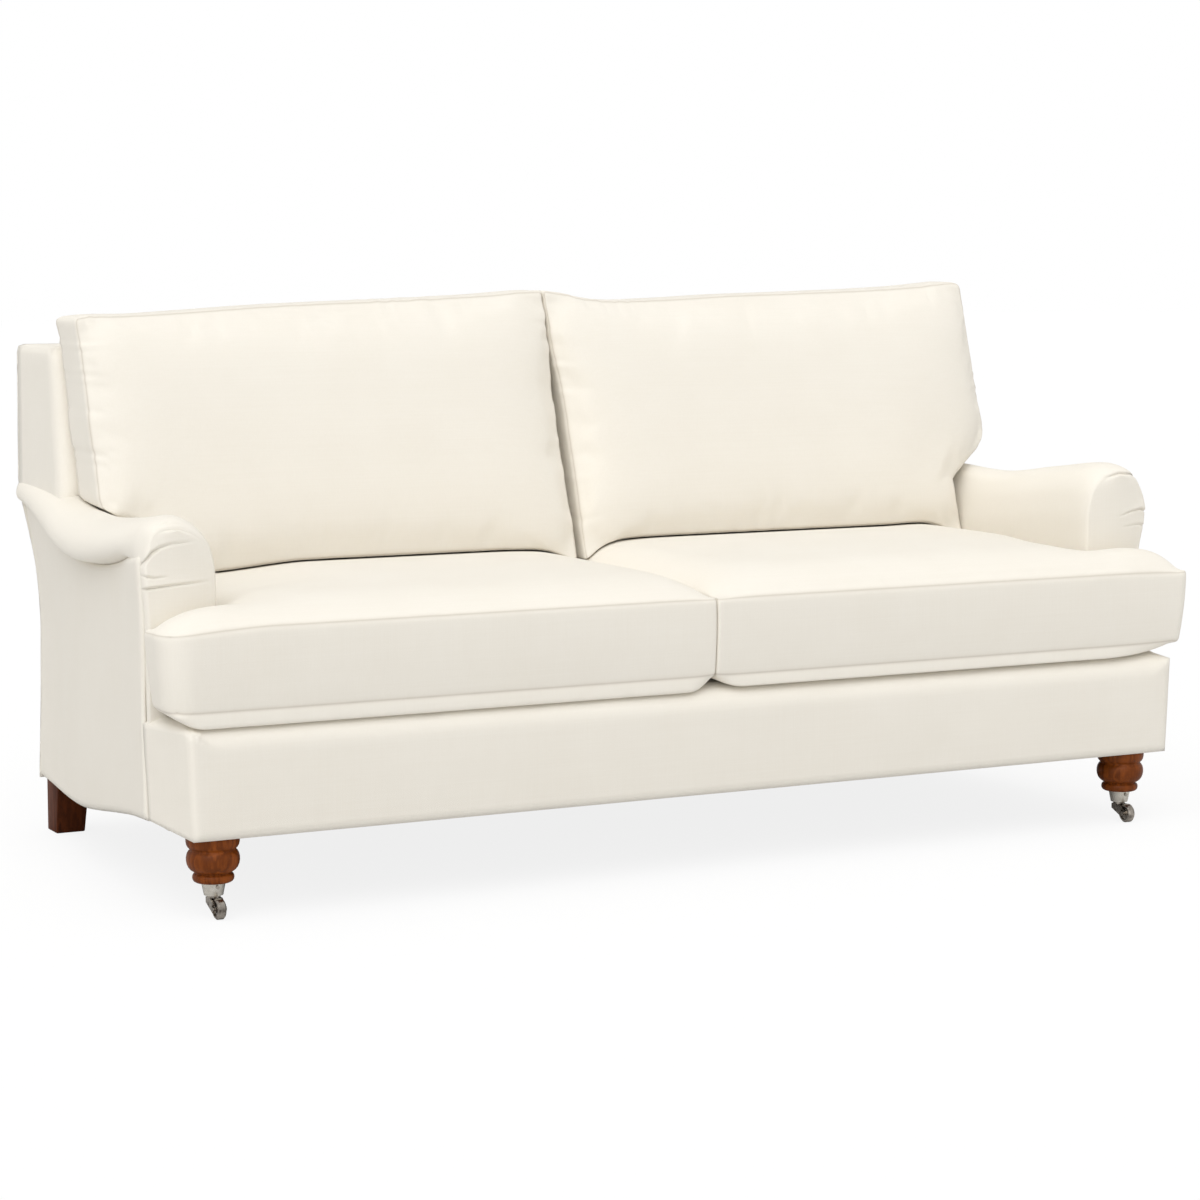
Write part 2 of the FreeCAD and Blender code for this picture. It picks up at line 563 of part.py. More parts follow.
# The dust cover spans the whole underside and is notched around the four legs.
dust = doc.addObject("Part::Fuse", "dust_cover")
dust.Base = box("dust_across", ("-dust_half", "dust_half"), ("dust_front", "dust_back"),
                ("dust_low", "base_bottom"))
dust.Tool = box("dust_along", ("-dust_leg", "dust_leg"), ("rail_front", "back_rail_front"),
                ("dust_low", "base_bottom"))
dust.Refine = True
keep(dust)
doc.recompute()

# Springs, clips, webbing and every soft piece are lofts, sweeps and cuts read from the sheets.
s = {name: num(name) for name in SIZE_NAMES}
p = {name: num(name) for name in PLACE_NAMES}
fit = s["fit"]
lean = math.tan(math.radians(s["back_lean"]))


def inside_back(z):
    """y of the inside back's face at a height."""
    return p["inside_foot"] + lean * (z - s["deck_top"])


def outside_back(z):
    """y of the inner face of the outside back at a height."""
    return p["panel_foot"] + p["lean_slope"] * max(0.0, z - s["back_bend"])


def behind_back(x_span):
    """Everything behind the inner face of the outside back, less the clearance."""
    far = s["overall_depth"]
    return raked(x_span, ((p["panel_foot"] - fit, 0), (far, 0), (far, 2 * s["back_height"]),
                          (outside_back(2 * s["back_height"]) - fit, 2 * s["back_height"]),
                          (p["panel_foot"] - fit, s["back_bend"])))


def outside_arm(y):
    """x of the outside arm's face, which tapers towards the back."""
    run = (y - p["arm_front"]) / (p["panel_foot"] - p["arm_front"])
    return p["arm_half"] + (p["arm_rear_half"] - p["arm_half"]) * run


def block(x_span, y_span, z_span):
    """A plain box shape between three spans."""
    low = Vector(x_span[0], y_span[0], z_span[0])
    return Part.makeBox(x_span[1] - x_span[0], y_span[1] - y_span[0], z_span[1] - z_span[0], low)


def prism(points, direction):
    """A polygon swept straight along a direction."""
    return Part.Face(Part.makePolygon(list(points) + [points[0]])).extrude(direction)


def raked(x_span, corners):
    """A prism along X from corners in the YZ plane."""
    points = [Vector(x_span[0], y, z) for y, z in corners]
    return prism(points, Vector(x_span[1] - x_span[0], 0, 0))


def section(place, corners, across):
    """A closed wire in the plane X or Y = place, from (a, z, rise of the edge that starts there)."""
    def point(a, z):
        return Vector(place, a, z) if across == "x" else Vector(a, place, z)

    edges = []
    for index, (a, z, rise) in enumerate(corners):
        b, top, _ = corners[(index + 1) % len(corners)]
        start, end = point(a, z), point(b, top)
        if abs(rise) < 1e-6:
            edges.append(Part.makeLine(start, end))
            continue
        length = math.hypot(b - a, top - z)
        middle = point((a + b) / 2 + rise * (top - z) / length, (z + top) / 2 - rise * (b - a) / length)
        edges.append(Part.Arc(start, middle, end).toShape())
    return Part.Wire(edges)


def mirrored(shape, side):
    """Soft pieces are drawn on the right; the left one is its mirror image."""
    return shape if side == "right" else shape.mirror(Vector(0, 0, 0), Vector(1, 0, 0))


# Sinuous springs run from the front rail to the spring rail, with a clip at each end.
wire = s["spring_wire"]
spring_z = p["deck_under"] - fit - wire / 2
first = (p["rail_front"] + p["rail_back"]) / 2
last = (p["spring_rail_front"] + p["spring_rail_back"]) / 2
turns = 2 * round((last - first) / (2 * s["spring_pitch"]))
pitch = (last - first) / turns
bend = pitch / 2
reach = s["spring_swing"] / 2 - bend
springs = []
clips = []
for number in range(int(s["spring_count"])):
    middle = p["seat_half"] * (2 * (number + 0.5) / s["spring_count"] - 1)
    path = []
    way = 1
    for turn in range(turns + 1):
        y = first + turn * pitch
        path.append(Part.makeLine(Vector(middle - way * reach, y, spring_z),
                                  Vector(middle + way * reach, y, spring_z)))
        if turn < turns:
            side_x = middle + way * reach
            path.append(Part.Arc(Vector(side_x, y, spring_z), Vector(side_x + way * bend, y + bend, spring_z),
                                 Vector(side_x, y + pitch, spring_z)).toShape())
        way = -way
    spine = Part.Wire(path)
    ring = Part.Wire(Part.makeCircle(wire / 2, Vector(middle - reach, first, spring_z), Vector(1, 0, 0)))
    springs.append(spine.makePipeShell([ring], True, False))
    for y in (first, last):
        half = s["clip_width"] / 2
        clip = block((middle - half, middle + half), (y - wire * 1.5, y + wire * 1.5),
                     (p["rail_top"], p["deck_under"] - fit / 2))
        clips.append(clip.cut(Part.makeCylinder(wire / 2 + s["hole_play"], 4 * half,
                                                Vector(middle - 2 * half, y, spring_z), Vector(1, 0, 0))))
keep(feature("seat_springs", Part.makeCompound(springs)))
keep(feature("spring_clips", Part.makeCompound(clips)))

straps = []
for number in range(int(s["strap_count"])):
    middle = p["side_in"] * (2 * (number + 0.5) / s["strap_count"] - 1)
    edge = s["strap_width"] / 2
    straps.append(raked((middle - edge, middle + edge), (
        (p["slat_low_front"] - s["strap_thickness"], p["slat_low"]), (p["slat_low_front"], p["slat_low"]),
        (p["post_top_front"], p["post_top"]), (p["post_top_front"] - s["strap_thickness"], p["post_top"]))))
keep(feature("back_webbing", Part.makeCompound(straps)))

# The base border wraps the front rail, its ends and the side rails.
rim = [(-p["base_half"], p["front"]), (p["base_half"], p["front"]), (p["base_half"], p["arm_front"]),
       (p["arm_rear_half"] - s["panel"] - 4, p["panel_foot"] - fit),
       (-p["arm_rear_half"] + s["panel"] + 4, p["panel_foot"] - fit), (-p["base_half"], p["arm_front"])]
border = prism([Vector(x, y, s["base_bottom"]) for x, y in rim],
               Vector(0, 0, s["deck_top"] - s["base_bottom"]))


def on_front_rim(edge):
    """The two front corners and the top edges of the front box."""
    middle = edge.CenterOfMass
    upright = abs(middle.y - p["front"]) < 0.01 and abs(abs(middle.x) - p["base_half"]) < 0.01
    top = abs(middle.z - s["deck_top"]) < 0.01 and middle.y < p["arm_front"] - 1
    return upright or top


border = border.makeFillet(s["border_round"], [edge for edge in border.Edges if on_front_rim(edge)])
wide = 2 * p["base_half"]
border = border.cut([
    block((-p["frame_half"], p["frame_half"]), (p["rail_front"], p["block_back"]), (0, p["rail_top"])),
    block((-p["side_out"], p["side_out"]), (p["rail_back"], p["panel_foot"]), (0, p["rail_top"])),
    block((-wide, wide), (p["arm_front"], p["panel_foot"]), (p["rail_top"], 2 * s["deck_top"])),
    block((-p["base_half"] + s["border_lip"] - 10, p["base_half"] - s["border_lip"] + 10),
          (p["front"] + s["border_lip"], p["arm_front"] + 1), (p["rail_top"], 2 * s["deck_top"])),
    block((-p["seat_half"], p["seat_half"]), (p["rail_front"], p["arm_front"]),
          (p["rail_top"], p["deck_under"])),
])
keep(feature("base_border", border))

deck_front = p["front"] + s["border_lip"] + fit
deck_ear = p["base_half"] - s["border_lip"] + 10 - fit
deck = block((-p["seat_half"] + fit, p["seat_half"] - fit),
             (deck_front, inside_back(p["deck_under"]) - fit), (p["deck_under"], s["deck_top"]))
deck = deck.fuse(block((-deck_ear, deck_ear), (deck_front, p["arm_front"] - fit),
                       (p["deck_under"], s["deck_top"]))).removeSplitter()
keep(feature("seat_deck", deck))

# Rolled arms: the section changes along the arm, its top line dips and the roll fades out at the back.
# Each station: share of the arm's length, share of the front rise, share of the dip, share of the overhang.
ARM_STATIONS = ((0.04, 1.0, 0.0, 0.5), (0.09, 1.0, 0.0, 0.8), (0.24, 0.25, 0.2, 1.0), (0.43, 0.0, 1.0, 1.0),
                (0.60, 0.0, 0.65, 0.75), (0.77, 0.0, 0.0, 0.3), (1.0, 0.0, 0.0, 0.05))
arm_back = outside_back(s["arm_rear_height"])
arm_length = arm_back - p["arm_front"]


def arm_section(y, top, bulge, inset=0.0):
    """The arm's outline at one place along it."""
    inner = p["seat_half"] + inset
    outer = outside_arm(y) + bulge - inset
    crest = (inner + outer) / 2 - bulge / 3
    return section(y, (
        (inner, p["rail_top"], 0), (outer, p["rail_top"], 0), (outer, top - s["roll_drop"], 14),
        (crest, top, 7), (inner + s["shoulder_in"], top - s["shoulder_drop"], 3),
        (inner, top - s["face_drop"], 0)), "y")


def arm_top(rise, dip):
    """Height of the arm's crest from its front rise and its dip."""
    return (s["arm_rear_height"] + rise * (s["arm_front_height"] - s["arm_rear_height"])
            - dip * (s["arm_rear_height"] - s["arm_dip_height"]))


stations = []
for run, rise, dip, overhang in ARM_STATIONS:
    stations.append((p["arm_front"] + run * arm_length, arm_top(rise, dip), overhang * s["roll_overhang"]))
nose_y, nose_top, nose_bulge = stations[0]
nose = [arm_section(p["arm_front"] + step * (nose_y - p["arm_front"]), nose_top - drop, nose_bulge, inset)
        for step, drop, inset in ((0.0, 15, 13), (0.35, 5, 4), (1.0, 0, 0))]
arm_blank = Part.makeLoft([arm_section(*station) for station in stations], True, False)
arm_blank = arm_blank.fuse(Part.makeLoft(nose, True, False))

# The seam under the roll: share of the arm's length, share of the height of the arm's dip.
SEAM = ((-0.05, 590 / 621), (0.09, 562 / 621), (0.22, 546 / 621), (0.42, 550 / 621), (0.57, 578 / 621),
        (0.70, 606 / 621), (0.80, 616 / 621), (1.05, 618 / 621))
# The swept lower edge of the outside arm: share of the arm's length, share of its lift or, below 0, its dip.
HEM = ((-0.05, 1.0), (0.21, 0.3), (0.40, -13 / 22), (0.61, -1.0), (1.05, -16 / 22))
seam_line = [(run, share * s["arm_dip_height"]) for run, share in SEAM]
hem_line = [(run, s["base_bottom"] + share * (s["hem_lift"] if share > 0 else s["hem_dip"]))
            for run, share in HEM]


def panel_outline(gap):
    """The outside arm's side view as a solid slab across X."""
    def curve(points, shift):
        places_on = [Vector(0, p["arm_front"] + run * arm_length, z + shift) for run, z in points]
        line = Part.BSplineCurve()
        line.interpolate(places_on)
        return line.toShape(), places_on[0], places_on[-1]

    top, top_front, top_back = curve(seam_line, gap)
    low, low_front, low_back = curve(hem_line, 0)
    rim_edges = [low, Part.makeLine(low_back, top_back), top, Part.makeLine(top_front, low_front)]
    face = Part.Face(Part.Wire(rim_edges))
    return face.extrude(Vector(2 * p["arm_half"], 0, 0))


panel_front = p["arm_front"] + s["arm_front_round"] / 2


def panel_plan(inner, outer, start):
    """The outside arm seen from above, as a tall tapered slab."""
    corners = [(outside_arm(start) - inner, start), (outside_arm(start) + outer, start),
               (outside_arm(arm_back) + outer, arm_back), (outside_arm(arm_back) - inner, arm_back)]
    return prism([Vector(x, y, 0) for x, y in corners], Vector(0, 0, s["back_height"]))


arm_zone = (0, 2 * p["arm_half"])
panel_blank = panel_plan(s["panel"], 0, panel_front).common(panel_outline(0)).cut(behind_back(arm_zone))
strip = block((p["base_half"] + fit, outside_arm(panel_front) - 0.5), (p["arm_front"], p["arm_post_front"]),
              (s["base_bottom"] + 19, p["rail_top"] - fit))
panel_blank = panel_blank.fuse(strip).removeSplitter()

cavity_front = p["arm_post_front"]
cavity_out = 2 * s["panel"]
cavity = prism([Vector(p["side_in"], cavity_front, 0),
                Vector(outside_arm(cavity_front) - cavity_out, cavity_front, 0),
                Vector(outside_arm(arm_back) - cavity_out, arm_back, 0),
                Vector(p["side_in"], arm_back, 0)], Vector(0, 0, p["arm_cavity_top"]))
behind = inside_back(s["arm_rear_height"]) + s["back_wall"]
arm_blank = arm_blank.cut([
    panel_plan(s["panel"] + fit, p["arm_half"], panel_front - fit).common(panel_outline(fit)),
    cavity,
    behind_back(arm_zone),
    block((p["seat_half"] - 1, p["side_out"] + fit), (behind, arm_back), (0, p["arm_cavity_top"])),
    block((p["side_in"] - fit, p["side_out"] + fit), (p["post_front"] - fit, p["rear_top"]),
          (0, s["back_height"])),
])
for side in SIDES:
    keep(feature(f"arm_pad_{side}", mirrored(arm_blank, side)))
    keep(feature(f"outside_arm_{side}", mirrored(panel_blank, side)))

# Inside back: a padded front and top over the timber, wider above the arms.
back_low = p["deck_under"]
back = raked((-p["back_half"], p["back_half"]), (
    (inside_back(back_low), back_low), (p["panel_foot"], back_low), (p["panel_foot"], s["back_bend"]),
    (p["panel_top"], s["back_height"]), (inside_back(s["back_height"]), s["back_height"])))


def on_back_rim(edge):
    """The front, end and top edges of the inside back."""
    middle = edge.CenterOfMass
    at_end = abs(abs(middle.x) - p["back_half"]) < 0.01
    at_top = abs(middle.z - s["back_height"]) < 0.01
    at_front = abs(middle.y - inside_back(middle.z)) < 0.01
    return (at_top and (at_end or at_front)) or (at_end and at_front)


back = back.makeFillet(s["back_round"], [edge for edge in back.Edges if on_back_rim(edge)])
wing = s["arm_rear_height"] + fit
hollow_low = inside_back(0) + s["back_wall"]
hollow_top = inside_back(p["post_top"]) + s["back_wall"]
back = back.cut([
    block((p["seat_half"] - fit, p["arm_half"]), (0, s["overall_depth"]), (0, wing)),
    block((-p["arm_half"], -p["seat_half"] + fit), (0, s["overall_depth"]), (0, wing)),
    raked((-p["side_out"] - fit, p["side_out"] + fit), (
        (hollow_low, 0), (s["overall_depth"], 0), (s["overall_depth"], p["post_top"]),
        (hollow_top, p["post_top"]))),
])
keep(feature("back_pad", back))

outer_back = raked((-p["arm_rear_half"], p["arm_rear_half"]), (
    (p["panel_foot"], s["base_bottom"]), (p["rear_foot"], s["base_bottom"]), (p["rear_foot"], s["back_bend"]),
    (p["rear_top"], s["back_height"]), (p["panel_top"], s["back_height"]), (p["panel_foot"], s["back_bend"])))
outer_back = outer_back.cut([
    block((p["back_half"], p["arm_half"]), (0, s["overall_depth"]), (wing, 2 * s["back_height"])),
    block((-p["arm_half"], -p["back_half"]), (0, s["overall_depth"]), (wing, 2 * s["back_height"])),
])
corners = [edge for edge in outer_back.Edges
           if abs(edge.CenterOfMass.z - s["back_height"]) < 0.01
           and abs(abs(edge.CenterOfMass.x) - p["back_half"]) < 0.01]
keep(feature("outside_back", outer_back.makeFillet(s["back_round"], corners)))


# Loose cushions: a cover with its wadding around a core, both lofted along X.
def seat_section(x, rear, crown, lift, inset):
    """Seat cushion outline: flat underside, bulged boxing and a crowned top."""
    front = p["front"] + inset
    low = s["deck_top"] + fit + inset + lift
    seam = s["deck_top"] + s["seam_low"] + inset * 0.6
    top = s["deck_top"] + s["seam_low"] + s["boxing"] - inset * 0.6
    back_low_y = min(rear, inside_back(seam) - 2 * fit) - inset
    back_top_y = min(rear, inside_back(top) - 2 * fit) - inset
    depth = back_top_y - front
    rise = top + crown - inset * 0.4
    shoulder = 0.17 * depth + 22
    swell = 0.065 * shoulder
    return section(x, (
        (front + 34, low, 0), (back_low_y - 10, low, 0), (back_low_y, seam, 0),
        (back_top_y, top, swell), (back_top_y - shoulder, rise, 0.002 * depth),
        (front + shoulder, rise, swell), (front, top, s["cushion_proud"]), (front, seam, 2.5)), "x")


def seat_cushion(inset):
    """The main block and the ear that wraps in front of the arm."""
    end = p["seat_half"] - fit - inset
    tip = p["base_half"] + s["ear_reach"] - inset
    soft = 26

    def run(rear, stations, more=0.0):
        wires = [seat_section(x, rear, share * s["seat_crown"], lift, inset + more)
                 for x, share, lift in stations]
        return Part.makeLoft(wires, True, False)

    # Each station: x, share of the crown, lift of the underside. The soft ends are lofts of their own.
    far = p["rear_top"]
    ear_back = p["arm_front"] - 2 * fit
    edge = run(far, ((fit + inset, 0.62, 9), (soft + inset, 0.86, 0)))
    main = run(far, ((soft + inset, 0.86, 0), (p["seat_half"] * 0.35, 1.0, 0),
                     (p["seat_half"] * 0.7, 1.0, 0), (end, 0.9, 0)))
    ear = run(ear_back, ((end, 0.38, 1), ((end + tip) / 2, 0.34, 1), (tip - soft, 0.3, 1)), 0.2)
    ear_end = run(ear_back, ((tip - soft, 0.3, 1), (tip, 0.1, 9)), 0.2)
    return main.fuse([edge, ear, ear_end])


def back_section(x, low, crown, droop, inset):
    """Back cushion outline: rests on the inside back, crowned in front."""
    bottom = low + inset
    top = s["back_cushion_top"] - droop - inset
    rear = -2 * fit - inset
    seat_in = rear - s["back_seat_in"]
    thick = s["back_boxing"] - 2 * inset
    rest_low = bottom + 62
    rest_top = min(top - 90, s["back_height"] - s["back_round"] - 20)
    rear_low = inside_back(bottom) + seat_in
    rear_top = inside_back(top) + seat_in
    return section(x, (
        (rear_low - thick, bottom, 3), (rear_low, bottom, 4), (inside_back(rest_low) + rear, rest_low, 0),
        (inside_back(rest_top) + rear, rest_top, 4), (rear_top, top - 6, 9),
        (rear_top - thick, top, crown)), "x")


def back_cushion(inset):
    """The block between the arms and the ear that reaches over the arm."""
    start = s["back_gap"] + inset
    end = p["seat_half"] - 2 * fit - inset
    low = s["deck_top"] + s["seam_low"] + s["boxing"] + s["seat_crown"] + s["back_sit"]
    main = ((start, 0.55, 6), (start + 40, 0.8, 1), (p["seat_half"] * 0.5, 1.0, 0), (end, 0.85, 4))
    ear = ((end, 0.6, 6), (end + 0.6 * s["back_ear"], 0.5, 12), (end + s["back_ear"], 0.25, 24))
    ear_low = s["arm_rear_height"] + 8
    body = Part.makeLoft([back_section(x, low, share * s["back_crown"], droop, inset)
                          for x, share, droop in main], True, False)
    wrap = Part.makeLoft([back_section(x, ear_low, share * s["back_crown"], droop, inset + 0.2)
                          for x, share, droop in ear], True, False)
    return body.fuse(wrap)


for name, make in (("seat", seat_cushion), ("back", back_cushion)):
    cover = make(0).cut(make(s["cover"]))
    core = make(s["cover"] + 3 * fit)
    for side in SIDES:
        keep(feature(f"{name}_cover_{side}", mirrored(cover, side)))
        keep(feature(f"{name}_core_{side}", mirrored(core, side)))

doc.recompute()

# Every object and shape is checked before the STEP files are written.
for obj in doc.Objects:
    if "Invalid" in obj.State or "Error" in obj.State:
        raise RuntimeError(f"{obj.Label} failed: {obj.State}")
os.makedirs("parts", exist_ok=True)
for obj in nodes:
    if obj.Shape.isNull() or not obj.Shape.isValid() or not obj.Shape.Solids:
        raise RuntimeError(f"{obj.Label} has no valid solid")
    obj.Shape.exportStep(f"parts/{obj.Label}.step")
    print(f"{obj.Label}: {len(obj.Shape.Solids)} solids, {obj.Shape.Volume / 1000:.1f} cm3")
print(f"{len(nodes)} nodes written")
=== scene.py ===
# %% [markdown]
# # A rolled arm sofa in cream linen
#
# The sofa has a timber frame, low arms that roll outwards, a raked back and four loose cushions.
# The frame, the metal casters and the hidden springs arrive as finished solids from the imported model.
# Everything soft is made here, because cloth over padding never has the flat faces of a solid.
# Lengths are in metres. X runs along the sofa, the front looks towards -Y, and the floor is at Z = 0.

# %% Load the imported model
import math

import bmesh
import bpy
import numpy as np
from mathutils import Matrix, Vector, noise
from mathutils.bvhtree import BVHTree
from mathutils.kdtree import KDTree


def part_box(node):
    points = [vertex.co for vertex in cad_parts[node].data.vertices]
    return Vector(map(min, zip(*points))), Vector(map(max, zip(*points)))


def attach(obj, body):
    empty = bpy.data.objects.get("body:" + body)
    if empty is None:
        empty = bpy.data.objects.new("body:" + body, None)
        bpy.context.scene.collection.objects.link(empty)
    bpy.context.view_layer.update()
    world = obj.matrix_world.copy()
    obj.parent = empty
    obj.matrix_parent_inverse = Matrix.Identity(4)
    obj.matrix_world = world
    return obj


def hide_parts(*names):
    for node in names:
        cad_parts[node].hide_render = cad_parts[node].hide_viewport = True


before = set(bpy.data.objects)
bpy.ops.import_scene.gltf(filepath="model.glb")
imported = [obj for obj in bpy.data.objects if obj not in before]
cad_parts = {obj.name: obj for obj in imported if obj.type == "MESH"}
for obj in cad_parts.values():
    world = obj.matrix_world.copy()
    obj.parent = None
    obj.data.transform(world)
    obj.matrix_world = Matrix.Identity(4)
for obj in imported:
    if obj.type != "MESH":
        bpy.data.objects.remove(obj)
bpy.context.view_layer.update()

mm = 0.001

# %% [markdown]
# ## The studio
#
# The sofa stands on a pale floor under a soft, even light: one broad lamp high in front and to the left, a
# weaker one lower down, and a bright world. Suns are used because they light every view alike. The camera
# stands where the photograph was taken from. World and floor are plain white only where the camera looks at
# them, so they don't flood the sofa with light from below.

# %% Camera and suns
scene = bpy.context.scene
scene.view_settings.view_transform = "Standard"

lens = bpy.data.cameras.new("camera")
lens.lens = 90
lens.sensor_width = 36
lens.shift_x = 0.0092
lens.shift_y = 0.0738
camera = bpy.data.objects.new("camera", lens)
camera.location = (-2.5325, -4.870, 1.046)
camera.rotation_euler = (math.radians(81.77), 0, math.radians(-27.53))
scene.collection.objects.link(camera)
scene.camera = camera


def add_sun(name, strength, spread, height, turn):
    """A soft sun; height is its elevation and turn its swing from straight ahead, both in degrees."""
    sun = bpy.data.lights.new(name, "SUN")
    sun.energy = strength
    sun.angle = math.radians(spread)
    lamp = bpy.data.objects.new(name, sun)
    lamp.rotation_euler = (math.radians(90 - height), 0, math.radians(turn))
    scene.collection.objects.link(lamp)


add_sun("key", strength=1.15, spread=60, height=62, turn=-40)
add_sun("front", strength=0.54, spread=70, height=28, turn=-38)
print("two suns, camera at", tuple(camera.location))


# %% World and floor
def feed(tree, socket, value):
    """Set a socket to a value or join another socket to it."""
    if isinstance(value, bpy.types.NodeSocket):
        tree.links.new(value, socket)
    else:
        socket.default_value = value


def add_node(tree, kind, inputs=None, **settings):
    """Add a node with its settings and feed its inputs, which are given by name or by number."""
    node = tree.nodes.new("ShaderNode" + kind)
    for label, value in settings.items():
        setattr(node, label, value)
    for label, value in (inputs or {}).items():
        feed(tree, node.inputs[label], value)
    return node


def open_finish(name, **values):
    """A material, its node tree and its Principled shader, set to plain values."""
    finish = bpy.data.materials.new(name)
    finish.use_nodes = True
    shader = finish.node_tree.nodes["Principled BSDF"]
    for label, value in values.items():
        shader.inputs[label.replace("_", " ")].default_value = value
    return finish, finish.node_tree, shader


def new_piece(name, cloth, finish):
    """Turn a bmesh into a smooth-shaded object with one material."""
    mesh = bpy.data.meshes.new(name)
    cloth.to_mesh(mesh)
    cloth.free()
    mesh.shade_smooth()
    mesh.materials.append(finish)
    piece = bpy.data.objects.new(name, mesh)
    scene.collection.objects.link(piece)
    return piece


world = scene.world = bpy.data.worlds.new("studio")
world.use_nodes = True
tree = world.node_tree
ray = add_node(tree, "LightPath").outputs
seen = add_node(tree, "Math", {0: ray["Is Camera Ray"], 1: ray["Is Transmission Ray"]},
                operation="MAXIMUM").outputs[0]
level = add_node(tree, "MapRange", {"Value": seen, "To Min": 0.70, "To Max": 1.0}).outputs[0]
sky = tree.nodes["Background"].inputs
feed(tree, sky["Color"], (1, 1, 1, 1))
feed(tree, sky["Strength"], level)

floor_paint, tree, matte = open_finish("floor_paint", Base_Color=(0.68, 0.68, 0.68, 1), Roughness=1.0,
                                       Specular_IOR_Level=0.0)
pale = add_node(tree, "BsdfDiffuse", {"Color": (0.93, 0.93, 0.93, 1)}).outputs[0]
glow = add_node(tree, "Emission").outputs[0]
lit = add_node(tree, "MixShader", {"Fac": 0.85, 1: pale, 2: glow}).outputs[0]
ray = add_node(tree, "LightPath").outputs
shown = add_node(tree, "MixShader", {"Fac": ray["Is Camera Ray"], 1: matte.outputs[0], 2: lit}).outputs[0]
feed(tree, tree.nodes["Material Output"].inputs["Surface"], shown)

ground = bmesh.new()
bmesh.ops.create_grid(ground, x_segments=4, y_segments=4, size=40)
floor = new_piece("floor", ground, floor_paint)
print("world and floor ready")

# %% [markdown]
# ## Building blocks for finishes
#
# Every finish is a set of nodes. Small helpers keep the recipes short: they do sums, draw a noise that can be
# stretched along an axis, blend two colours, raise a bump and open a node group with named sockets.

# %% Node helpers
MIX_LOW, MIX_HIGH, MIX_RESULT = 6, 7, 2  # the colour sockets of a mix node share their names with others


def calc(tree, operation, first, second=0.0, clamp=False):
    """One math node."""
    return add_node(tree, "Math", {0: first, 1: second}, operation=operation, use_clamp=clamp).outputs[0]


def weigh(tree, *terms):
    """The sum of some values, each times its weight."""
    total = 0.0
    for value, weight in terms:
        total = calc(tree, "ADD", calc(tree, "MULTIPLY", value, weight), total)
    return total


def streaks(tree, stretch, scale=1.0, detail=2.0):
    """Noise on object coordinates, stretched by three factors."""
    place = add_node(tree, "TexCoord").outputs["Object"]
    drawn = add_node(tree, "Mapping", {"Vector": place, "Scale": stretch}).outputs[0]
    return add_node(tree, "TexNoise", {"Vector": drawn, "Scale": scale, "Detail": detail}).outputs["Fac"]


def between(tree, share, low, high):
    """A colour between two colours."""
    low, high = (c if isinstance(c, bpy.types.NodeSocket) else (*c, 1) for c in (low, high))
    blend = add_node(tree, "Mix", {"Factor": share, MIX_LOW: low, MIX_HIGH: high}, data_type="RGBA")
    return blend.outputs[MIX_RESULT]


def relief(tree, shader, height, depth, strength):
    """Turn a height into a bump on the shader's normal."""
    bump = add_node(tree, "Bump", {"Height": height, "Distance": depth, "Strength": strength})
    feed(tree, shader.inputs["Normal"], bump.outputs[0])


def open_group(name, inputs, outputs):
    """A shader node group with float sockets: the group, what comes in and what goes out."""
    tree = bpy.data.node_groups.new(name, "ShaderNodeTree")
    for label, value in inputs:
        socket = tree.interface.new_socket(label, in_out="INPUT", socket_type="NodeSocketFloat")
        socket.default_value = value
    for label in outputs:
        tree.interface.new_socket(label, in_out="OUTPUT", socket_type="NodeSocketFloat")
    return tree, tree.nodes.new("NodeGroupInput").outputs, tree.nodes.new("NodeGroupOutput").inputs


print("node helpers ready")

# %% [markdown]
# ## Linen
#
# The covers are a plain weave: each thread passes over one and under the next, with thicker slubs here and
# there. A picture of cloth would need an unwrapped mesh, so the weave is worked out from object coordinates
# instead. Two crossed sine waves make the little cushions of a plain weave. This is done in all three
# directions, and the surface's own direction decides how much of each is seen.

# %% The weave as a node group
weave_group, given, result = open_group("plain_weave", (("Threads", 700.0), ("Slub", 1.0)), ("Height", "Tone"))
tree = weave_group
coords = add_node(tree, "TexCoord").outputs
place = add_node(tree, "SeparateXYZ", {0: coords["Object"]}).outputs
facing = add_node(tree, "SeparateXYZ", {0: coords["Normal"]}).outputs
pace = calc(tree, "MULTIPLY", given["Threads"], 2 * math.pi)
waves = [calc(tree, "SINE", calc(tree, "MULTIPLY", place[axis], pace)) for axis in range(3)]
cells = [calc(tree, "MULTIPLY", waves[warp], waves[weft]) for warp, weft in ((1, 2), (0, 2), (0, 1))]
shares = [calc(tree, "POWER", calc(tree, "ABSOLUTE", facing[axis]), 3.0) for axis in range(3)]
height = weigh(tree, *zip(cells, shares))
along, across = (streaks(tree, stretch, detail=3.0) for stretch in ((5, 420, 420), (420, 420, 5)))
slub = calc(tree, "SUBTRACT", calc(tree, "ADD", along, across), 1.0)
slub = calc(tree, "MULTIPLY", slub, given["Slub"])
cloudy = calc(tree, "SUBTRACT", streaks(tree, (1, 1, 1), 9.0), 0.5)
tone = calc(tree, "ADD", weigh(tree, (slub, 0.45), (cloudy, 0.35), (height, 0.06)), 0.5, clamp=True)
feed(tree, result["Height"], calc(tree, "ADD", height, slub))
feed(tree, result["Tone"], tone)


